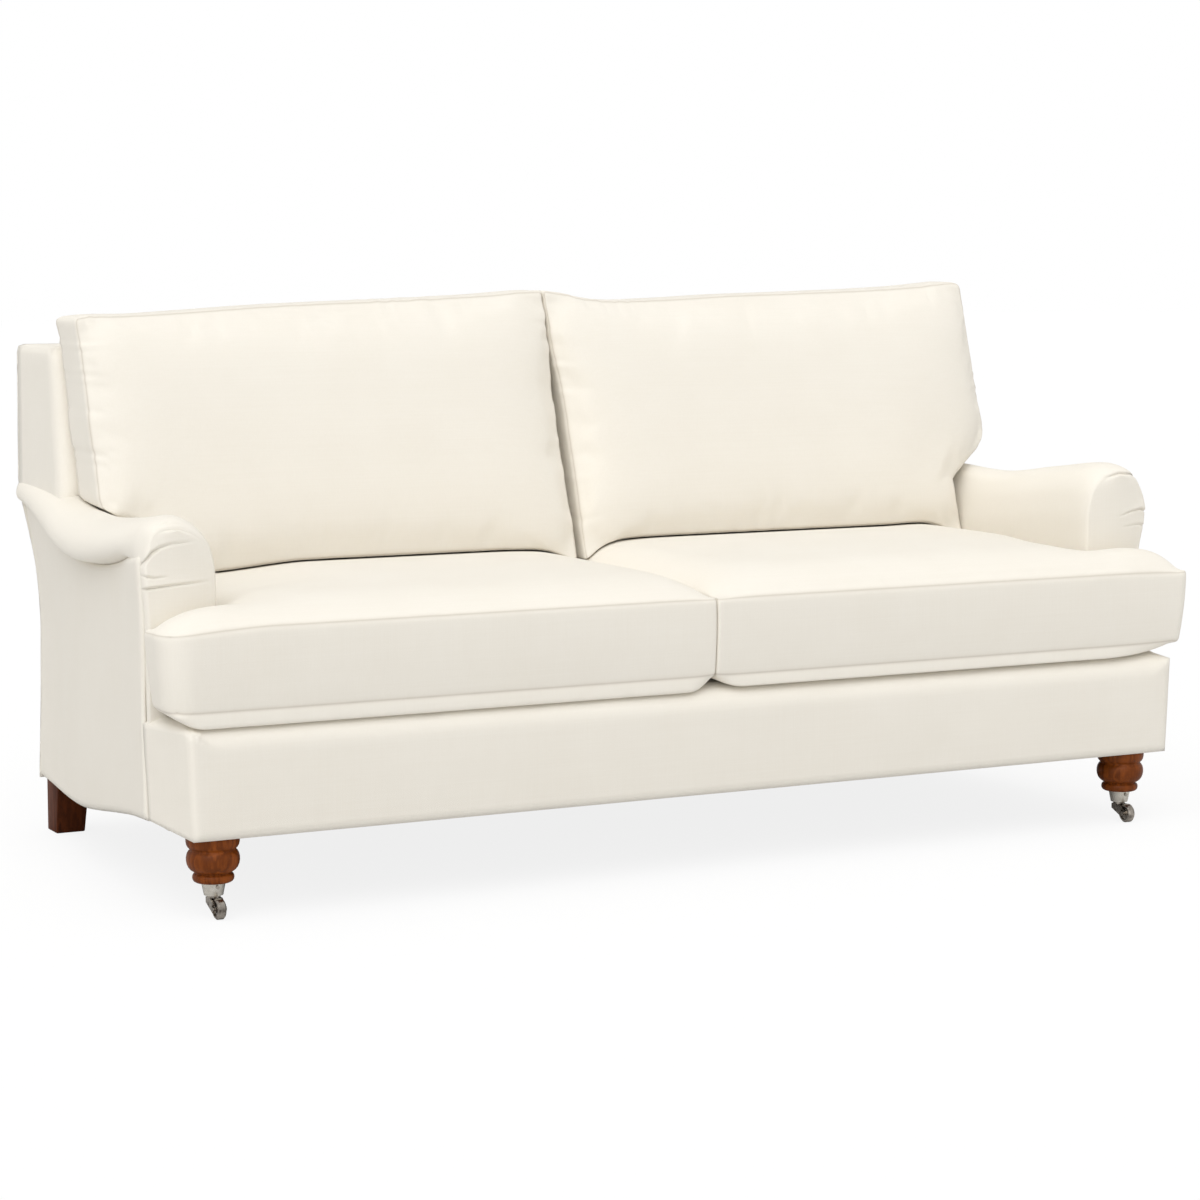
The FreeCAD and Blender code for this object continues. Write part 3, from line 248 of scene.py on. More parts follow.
def cloth_finish(name, dark, light, threads, slub, depth, sheen, shadow=(0.55, 0.49, 0.41)):
    """Woven cloth; the piece's own seam attribute mixes in the shadow colour, painted shade along the sewn
    lines.
    """
    finish, tree, shader = open_finish(name, Roughness=0.92, Specular_IOR_Level=0.22,
                                       Sheen_Weight=sheen, Sheen_Roughness=0.45)
    weave = add_node(tree, "Group", {"Threads": threads, "Slub": slub}, node_tree=weave_group).outputs
    sewn = add_node(tree, "Attribute", attribute_name="seam").outputs["Fac"]
    # Painted shade: the seam attribute darkens the sewn lines towards the shadow colour.
    seam_shade = calc(tree, "MULTIPLY", calc(tree, "POWER", sewn, 4.0), 0.7, clamp=True)
    colour = between(tree, weave["Tone"], dark, light)
    feed(tree, shader.inputs["Base Color"], between(tree, seam_shade, colour, shadow))
    relief(tree, shader, weave["Height"], depth, 0.55)
    return finish


linen = cloth_finish("cream_linen", (0.825, 0.775, 0.680), (0.900, 0.862, 0.785),
                     threads=640, slub=0.7, depth=0.24 * mm, sheen=0.08)
deck_cloth = cloth_finish("deck_cotton", (0.70, 0.65, 0.56), (0.80, 0.76, 0.68),
                          threads=900, slub=0.6, depth=0.16 * mm, sheen=0.05)
dust_cloth = cloth_finish("dust_cambric", (0.020, 0.020, 0.022), (0.045, 0.045, 0.048),
                          threads=1100, slub=0.8, depth=0.1 * mm, sheen=0.0, shadow=(0.01, 0.01, 0.01))
strap_cloth = cloth_finish("jute_webbing", (0.30, 0.21, 0.12), (0.52, 0.40, 0.26),
                           threads=420, slub=1.6, depth=0.5 * mm, sheen=0.05)
fill_cloth = cloth_finish("cushion_wadding", (0.78, 0.77, 0.74), (0.90, 0.89, 0.87),
                          threads=300, slub=1.8, depth=0.6 * mm, sheen=0.1)
print("cloth finishes:", [m.name for m in (linen, deck_cloth, dust_cloth, strap_cloth, fill_cloth)])

# %% [markdown]
# ## Wood
#
# The turned front legs are stained a warm chestnut and polished, the square rear legs are darker, and the
# hidden frame is plain sawn timber. Grain is a noise drawn out along the leg, with finer pores on top.

# %% Wood grain as a node group
grain_group, given, result = open_group("wood_grain", (("Figure", 1.0),), ("Height", "Tone"))
tree = grain_group
figure = streaks(tree, (38, 38, 6), detail=4.0)
pores = streaks(tree, (900, 900, 40))
bands = calc(tree, "SINE", calc(tree, "MULTIPLY", figure, 34.0))
tone = weigh(tree, (bands, 0.16), (figure, 0.9), (calc(tree, "SUBTRACT", pores, 0.5), 0.35))
feed(tree, result["Tone"], calc(tree, "MULTIPLY", tone, given["Figure"], clamp=True))
feed(tree, result["Height"], calc(tree, "ADD", pores, calc(tree, "MULTIPLY", bands, 0.2)))


def wood_finish(name, dark, light, rough, coat, depth):
    """Stained or plain wood with grain along Z."""
    finish, tree, shader = open_finish(name, Coat_Weight=coat, Coat_Roughness=0.22, Specular_IOR_Level=0.12)
    grain = add_node(tree, "Group", node_tree=grain_group).outputs
    feed(tree, shader.inputs["Base Color"], between(tree, grain["Tone"], dark, light))
    spread = calc(tree, "ADD", calc(tree, "MULTIPLY", grain["Tone"], -0.15), rough + 0.08)
    feed(tree, shader.inputs["Roughness"], spread)
    relief(tree, shader, grain["Height"], depth, 0.4)
    return finish


chestnut = wood_finish("polished_chestnut", (0.055, 0.010, 0.001), (0.330, 0.082, 0.010),
                       rough=0.40, coat=0.06, depth=0.2 * mm)
dark_wood = wood_finish("dark_leg_wood", (0.026, 0.005, 0.001), (0.140, 0.032, 0.006),
                        rough=0.55, coat=0.0, depth=0.2 * mm)
frame_wood = wood_finish("frame_timber", (0.42, 0.27, 0.14), (0.66, 0.48, 0.29),
                         rough=0.70, coat=0.0, depth=0.4 * mm)
print("wood finishes:", [m.name for m in (chestnut, dark_wood, frame_wood)])

# %% [markdown]
# ## Metal
#
# The caster cups are bright nickel and springs and bolts are steel. The forks and wheels are darker: partly
# tarnish from use, and partly painted shade and painted reflection contrast, since a plain white world gives
# metal no dark reflections.
# One group gives all three their cloudy tarnish and fine scratches, each with its own amount.

# %% Tarnish as a node group
tarnish_group, given, result = open_group("tarnish", (("Amount", 0.5),), ("Stain", "Scratch"))
tree = tarnish_group
patches = streaks(tree, (90, 90, 90), detail=5.0)
stain = calc(tree, "MULTIPLY", calc(tree, "SUBTRACT", patches, 0.42), 3.2, clamp=True)
feed(tree, result["Stain"], calc(tree, "MULTIPLY", stain, given["Amount"], clamp=True))
feed(tree, result["Scratch"], streaks(tree, (260, 1500, 1500)))


def metal_finish(name, bright, dull, amount, rough):
    """Metal whose tarnished patches are darker and rougher."""
    finish, tree, shader = open_finish(name, Metallic=1.0)
    worn = add_node(tree, "Group", {"Amount": amount}, node_tree=tarnish_group).outputs
    feed(tree, shader.inputs["Base Color"], between(tree, worn["Stain"], bright, dull))
    spread = calc(tree, "ADD", weigh(tree, (worn["Stain"], 0.22), (worn["Scratch"], 0.08)), rough)
    feed(tree, shader.inputs["Roughness"], spread)
    relief(tree, shader, worn["Scratch"], 0.05 * mm, 0.25)
    return finish


nickel = metal_finish("bright_nickel", (0.72, 0.69, 0.62), (0.42, 0.38, 0.32), amount=0.45, rough=0.20)
# Painted shade and painted reflection contrast as well as tarnish: a near-black dull colour at full amount
# darkens the forks and wheels in patches.
aged_nickel = metal_finish("aged_nickel", (0.44, 0.40, 0.35), (0.07, 0.055, 0.045), amount=1.0, rough=0.18)
steel = metal_finish("spring_steel", (0.42, 0.42, 0.43), (0.20, 0.19, 0.18), amount=0.7, rough=0.34)
print("metal finishes:", [m.name for m in (nickel, aged_nickel, steel)])

# %% [markdown]
# ## Dressing the solids
#
# Every solid takes a finish by the first part of its name, and what is not listed is frame timber. So nothing
# shows the plain grey it was packed with.

# %% Materials by name
FINISH_OF = ((chestnut, ("front_leg",)), (dark_wood, ("rear_leg",)), (nickel, ("caster_cup",)),
             (aged_nickel, ("caster_fork", "caster_wheel", "caster_axle", "caster_screws")),
             (steel, ("seat_springs", "spring_clips", "leg_bolts")), (strap_cloth, ("back_webbing",)),
             (dust_cloth, ("dust_cover",)), (deck_cloth, ("seat_deck",)),
             (fill_cloth, ("seat_core", "back_core")),
             (linen, ("seat_cover", "back_cover", "base_border", "arm_pad", "outside_", "back_pad")))
for name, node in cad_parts.items():
    finish = next((finish for finish, starts in FINISH_OF if name.startswith(starts)), frame_wood)
    node.data.materials.clear()
    node.data.materials.append(finish)
print(len(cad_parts), "solids dressed")

# %% [markdown]
# ## From cutting pattern to padded form
#
# Upholstery starts as flat cloth cut to a pattern. Here a pattern is a grid of quads with its unused corner
# cut away, so its lines run along the threads as in real cloth. Raising it into a box gives a top panel, a
# bottom panel and the boxing strip between them, and their edges are the seams.


# %% Pattern helpers
def cut_pattern(u_marks, v_marks, missing, cell):
    """A flat grid whose lines pass through every corner of the pattern."""
    u_steps = [max(2, round((b - a) / cell)) for a, b in zip(u_marks, u_marks[1:])]
    v_steps = [max(2, round((b - a) / cell)) for a, b in zip(v_marks, v_marks[1:])]
    cloth = bmesh.new()
    bmesh.ops.create_grid(cloth, x_segments=sum(u_steps), y_segments=sum(v_steps), size=0.5)
    u_lines, v_lines = np.cumsum([0] + u_steps), np.cumsum([0] + v_steps)
    for vert in cloth.verts:
        vert.co.x = np.interp((vert.co.x + 0.5) * u_lines[-1], u_lines, u_marks)
        vert.co.y = np.interp((vert.co.y + 0.5) * v_lines[-1], v_lines, v_marks)
    waste = [face for face in cloth.faces if missing(*face.calc_center_median().xy)]
    bmesh.ops.delete(cloth, geom=waste, context="FACES")
    return cloth


def between_panels(share):
    """Which points of a box one unit high are on its wall, above its bottom and below its top."""
    return (share > 0.01) & (share < 0.99)


def box_up(cloth, layers):
    """Close a flat pattern into a box one unit high with rings of quads round its wall."""
    made = bmesh.ops.extrude_face_region(cloth, geom=cloth.faces[:], use_keep_orig=True)
    lifted = [item for item in made["geom"] if isinstance(item, bmesh.types.BMVert)]
    bmesh.ops.translate(cloth, verts=lifted, vec=(0, 0, 1))
    upright = [edge for edge in cloth.edges if abs(edge.verts[0].co.z - edge.verts[1].co.z) > 0.5]
    bmesh.ops.subdivide_edges(cloth, edges=upright, cuts=layers - 1, use_grid_fill=True)
    bmesh.ops.recalc_face_normals(cloth, faces=cloth.faces[:])
    return cloth


def points_of(mesh):
    """All vertices of a mesh as an array."""
    points = np.empty(len(mesh.vertices) * 3)
    mesh.vertices.foreach_get("co", points)
    return points.reshape(-1, 3)


def move_points(mesh, points):
    """Write an array of points back to a mesh."""
    mesh.vertices.foreach_set("co", points.ravel())
    mesh.update()


def normals_of(mesh):
    """The direction that each vertex faces."""
    return np.array([vert.normal for vert in mesh.vertices])


def distance_to_rim(points):
    """How far each point of a boxed form is from the wall, and the nearest place on the wall."""
    on_wall = between_panels(points[:, 2])
    tree = KDTree(int(on_wall.sum()))
    for number, (u, v, _) in enumerate(points[on_wall]):
        tree.insert((u, v, 0), number)
    tree.balance()
    found = [tree.find((u, v, 0)) for u, v, _ in points]
    return np.array([hit[2] for hit in found]), np.array([hit[0][:2] for hit in found])


def smoothstep(value, low, high):
    """0 below low, 1 above high, and a soft ramp between."""
    share = np.clip((value - low) / (high - low), 0, 1)
    return share * share * (3 - 2 * share)


def waves_at(points, scale, seed):
    """Smooth noise between about -1 and 1 at each point, the same on every run."""
    return np.array([noise.noise(Vector((p[0] * scale + seed, p[1] * scale - seed, p[2] * scale)))
                     for p in points])


def set_attribute(mesh, name, values):
    """Store one number per vertex."""
    layer = mesh.attributes.new(name, "FLOAT", "POINT")
    layer.data.foreach_set("value", np.asarray(values, dtype=np.float32))


def get_attribute(mesh, name):
    """Read back one number per vertex."""
    values = np.empty(len(mesh.vertices), dtype=np.float32)
    mesh.attributes[name].data.foreach_get("value", values)
    return values


def soft_rise(away, reach):
    """0 at an edge, 1 from reach on, and round between, as padding rises from a seam."""
    return 1 - (1 - np.clip(away / reach, 0, 1)) ** 2


print("pattern helpers ready")

# %% [markdown]
# ## Rolled arms
#
# The arm is covered by one long piece of cloth that comes up the inside, over the roll and under it to a seam,
# and is drawn over the front like a sock, with the spare cloth folded into a few pleats. A grid is wrapped
# round a section that changes along the arm: its crest dips in the middle and the roll fades out at the back.
# The last rows of the grid close over the front. Each arm has its own crest line, as hand-padded arms do.

# %% Where the upholstered faces are
deck_top = 318 * mm
base_front = -486 * mm
base_half = 950 * mm
base_low = 132 * mm
seat_half = 852 * mm
arm_front = -369 * mm
arm_half = 976 * mm
arm_rear_half = 930 * mm
back_foot, back_rake = 96 * mm, 0.325
back_top = 885 * mm
panel = 8 * mm
panel_foot = 412 * mm
panel_rake = 72 / 505
back_bend = 380 * mm


def inside_back(z):
    """y of the face that the back cushions lean on."""
    return back_foot + back_rake * (z - deck_top)


def outside_back(z):
    """y of the inner side of the outside back."""
    return panel_foot + panel_rake * np.maximum(0, z - back_bend)


def outside_arm(y):
    """x of the outside arm, which draws in towards the back."""
    return arm_half + (arm_rear_half - arm_half) * (y - arm_front) / (panel_foot - arm_front)


print("the seat is", 2 * seat_half, "m wide between the arms")


# %% The arm's flowing lines
def flowing(at, marks, values):
    """A smooth curve through a few values measured in millimetres; gives metres."""
    marks, values = np.asarray(marks, float), np.asarray(values, float)
    slope = np.gradient(values, marks)
    left = np.clip(np.searchsorted(marks, at) - 1, 0, len(marks) - 2)
    gap = marks[left + 1] - marks[left]
    t = np.clip((at - marks[left]) / gap, 0, 1)
    return mm * ((1 + 2 * t) * (1 - t) ** 2 * values[left] + t * (1 - t) ** 2 * gap * slope[left]
                 + t * t * (3 - 2 * t) * values[left + 1] + t * t * (t - 1) * gap * slope[left + 1])


# Marks are shares of the arm's length. Heights, depths and widths are in millimetres, read from the photograph.
ARM_MARKS = (0.0, 0.07, 0.22, 0.42, 0.58, 0.77, 1.0)
CREST = {"right": (664, 662, 648, 630, 635, 645, 660), "left": (639, 636, 622, 613, 618, 640, 660)}
OVERHANG = {"right": (20, 24, 32, 34, 30, 25, 17), "left": (4, 12, 29, 34, 31, 26, 17)}
SEAM_MARKS = (-0.05, 0.03, 0.137, 0.326, 0.526, 0.71, 0.815, 0.91, 1.05)
SEAM_HEIGHT = (590, 584, 562, 537, 537, 561, 579, 592, 603)
HEM_MARKS = (-0.05, 0.17, 0.31, 0.44, 0.55, 0.68, 0.82, 0.95, 1.05)
HEM_HEIGHT = (152, 137, 123, 109, 99, 94, 93, 95, 98)
SOCK_HEIGHT = (100, 290, 420, 499, 541, 577, 604, 640, 660)
SOCK_SWELL = {"right": (3, 3, 7, 14, 23, 27, 23, 10, 0), "left": (5, 4, 4, 6, 9, 10, 9, 5, 0)}
SOCK_SHARE = {"right": 1.15, "left": 0.45}
SOCK_OUTLINE = ((9, 42), (19, 64), (22, 88), (19, 122), (11, 164))
ROLL_OUTLINE = ((0.42, 0.09), (0.72, 0.25), (0.93, 0.49), (1.0, 0.72), (0.97, 0.91))
WAIST_HEIGHT = (100, 300, 400, 490, 560, 600, 640)
WAIST_DEPTH = (16, 24, 26, 23, 13, 6, 0)
mean_crest = 637 * mm
arm_length = outside_back(mean_crest) - arm_front
nose_depth = 40 * mm
nose_inset = 21 * mm
rail_top = 290 * mm
tuck_depth, tuck_inset = 60 * mm, 16 * mm


def sock_swell(side, z):
    """How far the arm front stands out past the outside arm at a height."""
    return flowing(z / mm, SOCK_HEIGHT, SOCK_SWELL[side])


def waist(z):
    """How far the rear corners below the arms are drawn in at a height."""
    return flowing(np.clip(z / mm, WAIST_HEIGHT[0], WAIST_HEIGHT[-1]), WAIST_HEIGHT, WAIST_DEPTH)


def spread(outline, count, rounds):
    """Evenly spaced points along an outline, with its corners eased and its ends kept."""
    outline = np.array(outline)
    steps = np.concatenate([[0], np.cumsum(np.linalg.norm(np.diff(outline, axis=0), axis=1))])
    at = np.linspace(0, steps[-1], count)
    line = np.column_stack([np.interp(at, steps, outline[:, 0]), np.interp(at, steps, outline[:, 1])])
    for _ in range(rounds):
        line[1:-1] = 0.5 * line[1:-1] + 0.25 * (line[:-2] + line[2:])
    return line


OVER, BELOW = 176, 84  # steps from the inside over the roll to its seam, and from there down


def arm_section(side, run, rolled):
    """The arm's outline at one place along it: up the inside, over the roll to its seam, then down."""
    y = arm_front + run * arm_length
    top = flowing(run, ARM_MARKS, CREST[side])
    seam = flowing(run, SEAM_MARKS, SEAM_HEIGHT)
    swell = flowing(run, ARM_MARKS, OVERHANG[side])
    full = 6 * mm * (1 - smoothstep(run, 0.25, 0.45))
    out, tuck, foot = (outside_arm(y) - waist(z) * smoothstep(run, 0.5, 1.0)
                       for z in (seam, seam - tuck_depth, rail_top))
    far = out + swell
    crest = (seat_half + far) / 2 - swell / 3
    drop = max(top - seam, 12 * mm)
    shoulder = 19 * mm * min(1, (far - seat_half) / (150 * mm))
    inside = [(seat_half, rail_top), (seat_half, top - 140 * mm),
              (seat_half + 0.2 * shoulder - 0.8 * full, top - 92 * mm),
              (seat_half + 0.8 * shoulder - full, top - 46 * mm),
              (seat_half + 0.5 * (crest - seat_half), top - 14 * mm), (crest, top)]
    roll = [(crest + (far - crest) * a, top - drop * b) for a, b in ROLL_OUTLINE]
    roll += [(out - panel, seam), (tuck - tuck_inset, seam - tuck_depth), (foot - tuck_inset, rail_top)]
    sock = [(out - 27 * mm, top - 3 * mm), (out - 4 * mm, top - 17 * mm)]
    sock += [(out + SOCK_SHARE[side] * a * mm, top - b * mm) for a, b in SOCK_OUTLINE]
    sock.append((out + 1 * mm, rail_top))
    outer = (1 - rolled) * np.array(sock) + rolled * np.array(roll)
    over = spread(np.vstack([inside, outer[:6]]), OVER + 1, 22)
    below = spread(outer[5:], BELOW + 1, 6)
    return np.vstack([over, below[1:]])


print("arm length", round(arm_length, 3))

# %% Pleats on the arm fronts
# Each pleat is a line of places (x, z) along its crease, then its depth and width, all in millimetres.
PLEATS = {
    "left": (((982, 558), (972, 571), (965, 580), (952, 588), (935, 593), (892, 596), 7.0, 11.0),
             ((984, 545), (962, 540), (938, 542), 4.0, 8.0), ((985, 522), (936, 527), (868, 531), 6.0, 9.0),
             ((972, 612), (958, 622), (930, 627), (895, 620), 3.0, 10.0)),
    "right": (((985, 628), (960, 640), (930, 643), (890, 634), 6.0, 10.0),
              ((1004, 564), (980, 575), (955, 571), (925, 562), 6.5, 9.0),
              ((1002, 540), (975, 546), (930, 542), 3.0, 9.0)),
}


def pleat(points, line, depth, width):
    """How far cloth stands out at a fold: a sharp crease with a full lip above it, fading along the line."""
    best, side, fade = np.full(len(points), np.inf), np.zeros(len(points)), np.zeros(len(points))
    for number, (start, end) in enumerate(zip(line, line[1:])):
        start, end = np.array(start) * mm, np.array(end) * mm
        way = end - start
        share = np.clip(((points - start) @ way) / (way @ way), 0, 1)
        away = points - (start + share[:, None] * way)
        gap = np.linalg.norm(away, axis=1)
        closer = gap < best
        best[closer] = gap[closer]
        side[closer] = np.sign(away[closer, 1])
        fade[closer] = 1 - ((number + share[closer]) / (len(line) - 1)) ** 2
    across = best * side / (width * mm)
    lip = np.where(across > 0, np.exp(-across * 0.9), 0.2 * np.exp(across * 1.2))
    crease = np.exp(-(across / 0.24) ** 2)
    return depth * mm * fade * (0.7 * lip - crease)


print("pleats:", {side: len(lines) for side, lines in PLEATS.items()})

# %% Make the arms
AROUND, ALONG, NOSE, FRONT = OVER + BELOW, 100, 14, 18  # steps of the grid round, along and over the front


def arm_cover(side):
    """One arm's cloth as a grid wrapped along the arm and closed over its front."""
    cloth = bmesh.new()
    rows = ALONG + NOSE + FRONT
    bmesh.ops.create_grid(cloth, x_segments=AROUND, y_segments=rows, size=0.5)
    grid = np.zeros((rows + 1, AROUND + 1, 3))
    start_run = nose_depth / arm_length
    for row in range(rows + 1):
        along = max(0, ALONG - row) / ALONG
        run = start_run + (1 - start_run) * along
        rolled = 0.6 + 0.4 * smoothstep(run, start_run, 0.14)
        rolled *= 1 - smoothstep((row - ALONG) / NOSE, -0.2, 0.6)
        line = arm_section(side, run, rolled)
        y = arm_front + nose_depth + along * (arm_length - nose_depth)
        if row > ALONG:
            turn = min(1, (row - ALONG) / NOSE) * math.pi / 2
            y = arm_front + nose_depth * (1 - math.sin(turn))
            way = np.gradient(line, axis=0)
            inward = np.column_stack([way[:, 1], -way[:, 0]])
            inward /= np.linalg.norm(inward, axis=1)[:, None]
            outer_side = smoothstep(line[:, 0], 0.93, 0.985)
            inner_side = 1 - smoothstep(line[:, 0], seat_half, seat_half + 45 * mm)
            depth = nose_inset * (1 - 0.45 * outer_side - 0.5 * inner_side) * smoothstep(line[:, 1], 0.30, 0.44)
            depth *= 1 - math.cos(turn)
            line = spread(line + inward * depth[:, None], AROUND + 1, 14)
        if row > ALONG + NOSE:
            share = (row - ALONG - NOSE) / FRONT
            line = line + 0.5 * share * (line[::-1] - line)
            y = arm_front - 5 * mm * math.sin(share * math.pi / 2)
        grid[row] = np.column_stack([line[:, 0], np.full(AROUND + 1, y), line[:, 1]])
    for vert in cloth.verts:
        vert.co = grid[round((vert.co.y + 0.5) * rows), round((vert.co.x + 0.5) * AROUND)]
        vert.co.y = min(vert.co.y, outside_back(vert.co.z) - 1 * mm)
    near_front = [edge for edge in cloth.edges if edge.verts[0].co.z > 460 * mm
                  and max(vert.co.y for vert in edge.verts) < arm_front + 0.8 * nose_depth]
    bmesh.ops.subdivide_edges(cloth, edges=near_front, cuts=1, use_grid_fill=True)
    points = np.array([vert.co[:] for vert in cloth.verts])
    front_share = 1 - smoothstep(points[:, 1], arm_front + 4 * mm, arm_front + 0.7 * nose_depth)
    for *line, depth, width in PLEATS[side]:
        points[:, 1] -= front_share * pleat(points[:, [0, 2]], line, depth, width)
    for vert, point in zip(cloth.verts, points):
        vert.co = point
    bmesh.ops.remove_doubles(cloth, verts=cloth.verts[:], dist=0.05 * mm)
    bmesh.ops.holes_fill(cloth, edges=[edge for edge in cloth.edges if edge.is_boundary], sides=0)
    bmesh.ops.recalc_face_normals(cloth, faces=cloth.faces[:])
    return cloth


def mirror_to_left(piece):
    """Turn a piece that was made on the right into its mirror image."""
    points = points_of(piece.data)
    points[:, 0] *= -1
    move_points(piece.data, points)
    piece.data.flip_normals()


arms = {}
for side, seed in (("right", 11.0), ("left", 4.0)):
    arm = arms[side] = new_piece(f"{side}_rolled_arm", arm_cover(side), linen)
    points = points_of(arm.data)
    move_points(arm.data, points + normals_of(arm.data) * (waves_at(points, 9, seed) * 1.2 * mm)[:, None])
    if side == "left":
        mirror_to_left(arm)
    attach(arm, "sofa_frame")
    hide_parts(f"arm_pad_{side}")
    print(arm.name, len(arm.data.polygons), "faces")

# %% [markdown]
# ## Outside arms
#
# A separate panel of cloth hangs from the seam under the roll and is pulled tight to a swept lower edge.
# It is a grid between those two lines. At the front it meets the side of the front box, and at the back it is
# drawn in below the arm. Its rim is tucked in before it gets the thickness of its padding.


# %% Make the outside arms
def outside_panel(side):
    """The outside arm as a shell with tucked edges."""
    cloth = bmesh.new()
    columns, rows = 96, 60
    bmesh.ops.create_grid(cloth, x_segments=columns, y_segments=rows, size=0.5)
    for vert in cloth.verts:
        share, rise = vert.co.x + 0.5, vert.co.y + 0.5
        run = 0.015 + 0.985 * share ** 1.25
        low = flowing(run, HEM_MARKS, HEM_HEIGHT)
        front_dip = 11 * mm * (1 - smoothstep(run, 0.03, 0.14))
        high = flowing(run, SEAM_MARKS, SEAM_HEIGHT) + 3 * mm - front_dip
        z = low + (high - low) * rise
        y = arm_front + run * (outside_back(z) + 5 * mm - arm_front)
        near_front = 1 - smoothstep(run, 0.02, 0.20)
        x = outside_arm(y) + near_front * sock_swell(side, z) - waist(z) * smoothstep(run, 0.5, 1.0)
        x += 2.5 * mm * math.sin(math.pi * rise) ** 0.5
        ahead = max(0.0, 1 - (y - arm_front) / nose_depth) * smoothstep(z, 0.33, 0.40)
        x -= 11 * mm * (1 - math.sqrt(1 - ahead ** 2))
        edge = min(rise, 1 - rise) * (high - low) / mm
        x -= 7 * mm * max(0.0, 1 - edge / 9) ** 2
        x -= 5 * mm * max(0.0, 1 - (y - arm_front - 12 * mm) / (7 * mm)) ** 2
        x += 0.8 * mm * noise.noise(Vector((y * 7, z * 7, 2.0)))
        vert.co = (x, y, z)
    bmesh.ops.recalc_face_normals(cloth, faces=cloth.faces[:])
    if sum(face.normal.x for face in cloth.faces) < 0:
        bmesh.ops.reverse_faces(cloth, faces=cloth.faces[:])
    bmesh.ops.solidify(cloth, geom=cloth.faces[:], thickness=5 * mm)
    return cloth


for side in ("right", "left"):
    outer = new_piece(f"{side}_outside_arm", outside_panel(side), linen)
    if side == "left":
        mirror_to_left(outer)
    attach(outer, "sofa_frame")
    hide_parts(f"outside_arm_{side}")
    print(outer.name, len(outer.data.polygons), "faces")

# %% [markdown]
# ## Stuffing a cushion
#
# A cushion keeps its shape by the push of its filling against the cloth. Blender's cloth solver does just
# that: pressure swells the panels, and the seams, which are told to draw in a little, stay short, so the cloth
# puckers along them as sewn cloth does. Gravity is off, because the filling is already settled. How far a
# point may travel is capped, then one subdivision smooths the result and the seams are pressed in. The soft
# back cushions are stuffed in this way. The firmer seat cushions keep the crown they are drawn with.

# %% Cloth simulation
STUFFING = {"quality": 4, "mass": 0.3, "air_damping": 2.0, "tension_stiffness": 30,
            "compression_stiffness": 30, "shear_stiffness": 14, "bending_stiffness": 0.5,
            "use_pressure": True, "uniform_pressure_force": 4.0,
            "vertex_group_shrink": "sewn", "shrink_min": 0.0, "shrink_max": 0.02}
STUFFING_FRAMES = 20


def stuff(piece, caps):
    """Swell a closed form under pressure and write the result into its mesh."""
    mesh = piece.data
    start = points_of(mesh)
    cloth = piece.modifiers.new("stuffing", "CLOTH")
    for label, value in STUFFING.items():
        setattr(cloth.settings, label, value)
    cloth.settings.effector_weights.gravity = 0
    cloth.point_cache.frame_start = 1
    cloth.point_cache.frame_end = STUFFING_FRAMES
    for step in range(1, STUFFING_FRAMES + 1):
        scene.frame_set(step)
    swollen = piece.evaluated_get(bpy.context.evaluated_depsgraph_get())
    result = points_of(swollen.data)
    piece.modifiers.remove(cloth)
    scene.frame_set(1)
    travel = result - start
    reach = np.linalg.norm(travel, axis=1)
    share = np.minimum(1, caps / np.maximum(reach, 1e-9))
    move_points(mesh, start + travel * share[:, None])
    print(f"{piece.name}: stuffed, {len(start)} points, up to {reach.max() * 1000:.0f} mm, "
          f"kept {(reach * share).max() * 1000:.0f} mm")


def smooth_out(piece):
    """Apply one subdivision to a piece, keeping its attributes."""
    finer = piece.modifiers.new("finer", "SUBSURF")
    finer.levels = finer.render_levels = 1
    applied = bpy.data.meshes.new_from_object(piece.evaluated_get(bpy.context.evaluated_depsgraph_get()))
    piece.modifiers.remove(finer)
    old = piece.data
    piece.data = applied
    applied.name = old.name
    bpy.data.meshes.remove(old)
    applied.shade_smooth()


def press_seams(piece, groove):
    """Push the sewn lines in and raise the puckers beside them."""
    mesh = piece.data
    rise = get_attribute(mesh, "pucker") - groove * get_attribute(mesh, "seam") ** 2
    move_points(mesh, points_of(mesh) + normals_of(mesh) * rise[:, None])


def round_corner(points, corner, inward, radius):
    """Round one corner of a pattern, as cloth is cut."""
    a = (points[:, 0] - corner[0]) * inward[0]
    b = (points[:, 1] - corner[1]) * inward[1]
    near = (a > -1e-6) & (b > -1e-6) & (a < radius) & (b < radius)
    p, q = 1 - a[near] / radius, 1 - b[near] / radius
    points[near, 0] = corner[0] + inward[0] * radius * (1 - p * np.sqrt(1 - q * q / 2))
    points[near, 1] = corner[1] + inward[1] * radius * (1 - q * np.sqrt(1 - p * p / 2))


print("cloth helpers ready")


# %% A boxed cushion with an ear
def soft_distance(points, outline, blur):
    """Distance of each point from the pattern's edge, eased where two edges are equally near."""
    total = np.zeros(len(points))
    for start, end in zip(outline, outline[1:] + outline[:1]):
        start, way = np.array(start), np.array(end) - np.array(start)
        share = np.clip(((points - start) @ way) / (way @ way), 0, 1)
        total += np.exp(-np.linalg.norm(points - start - share[:, None] * way, axis=1) / blur)
    return np.maximum(0, -blur * np.log(total))


under_round = 30 * mm
# The front of the underside: how far in a place is cut, and how far back and how high it then lies, in mm.
# Behind the last mark the underside is drawn together, out of sight, so the cloth solver can't work on it.
LIP_AT = (0, 10, 20, 28, 35, 40, 48, 55, 70, 85, 200)
LIP_BACK = (0, -1, -2, -2, 0, 3, 9, 15, 29, 43, 200)
LIP_RISE = (18, 9, -0.5, -9, -14, -15.5, -13.5, -10, -2.5, 0.5, 0)


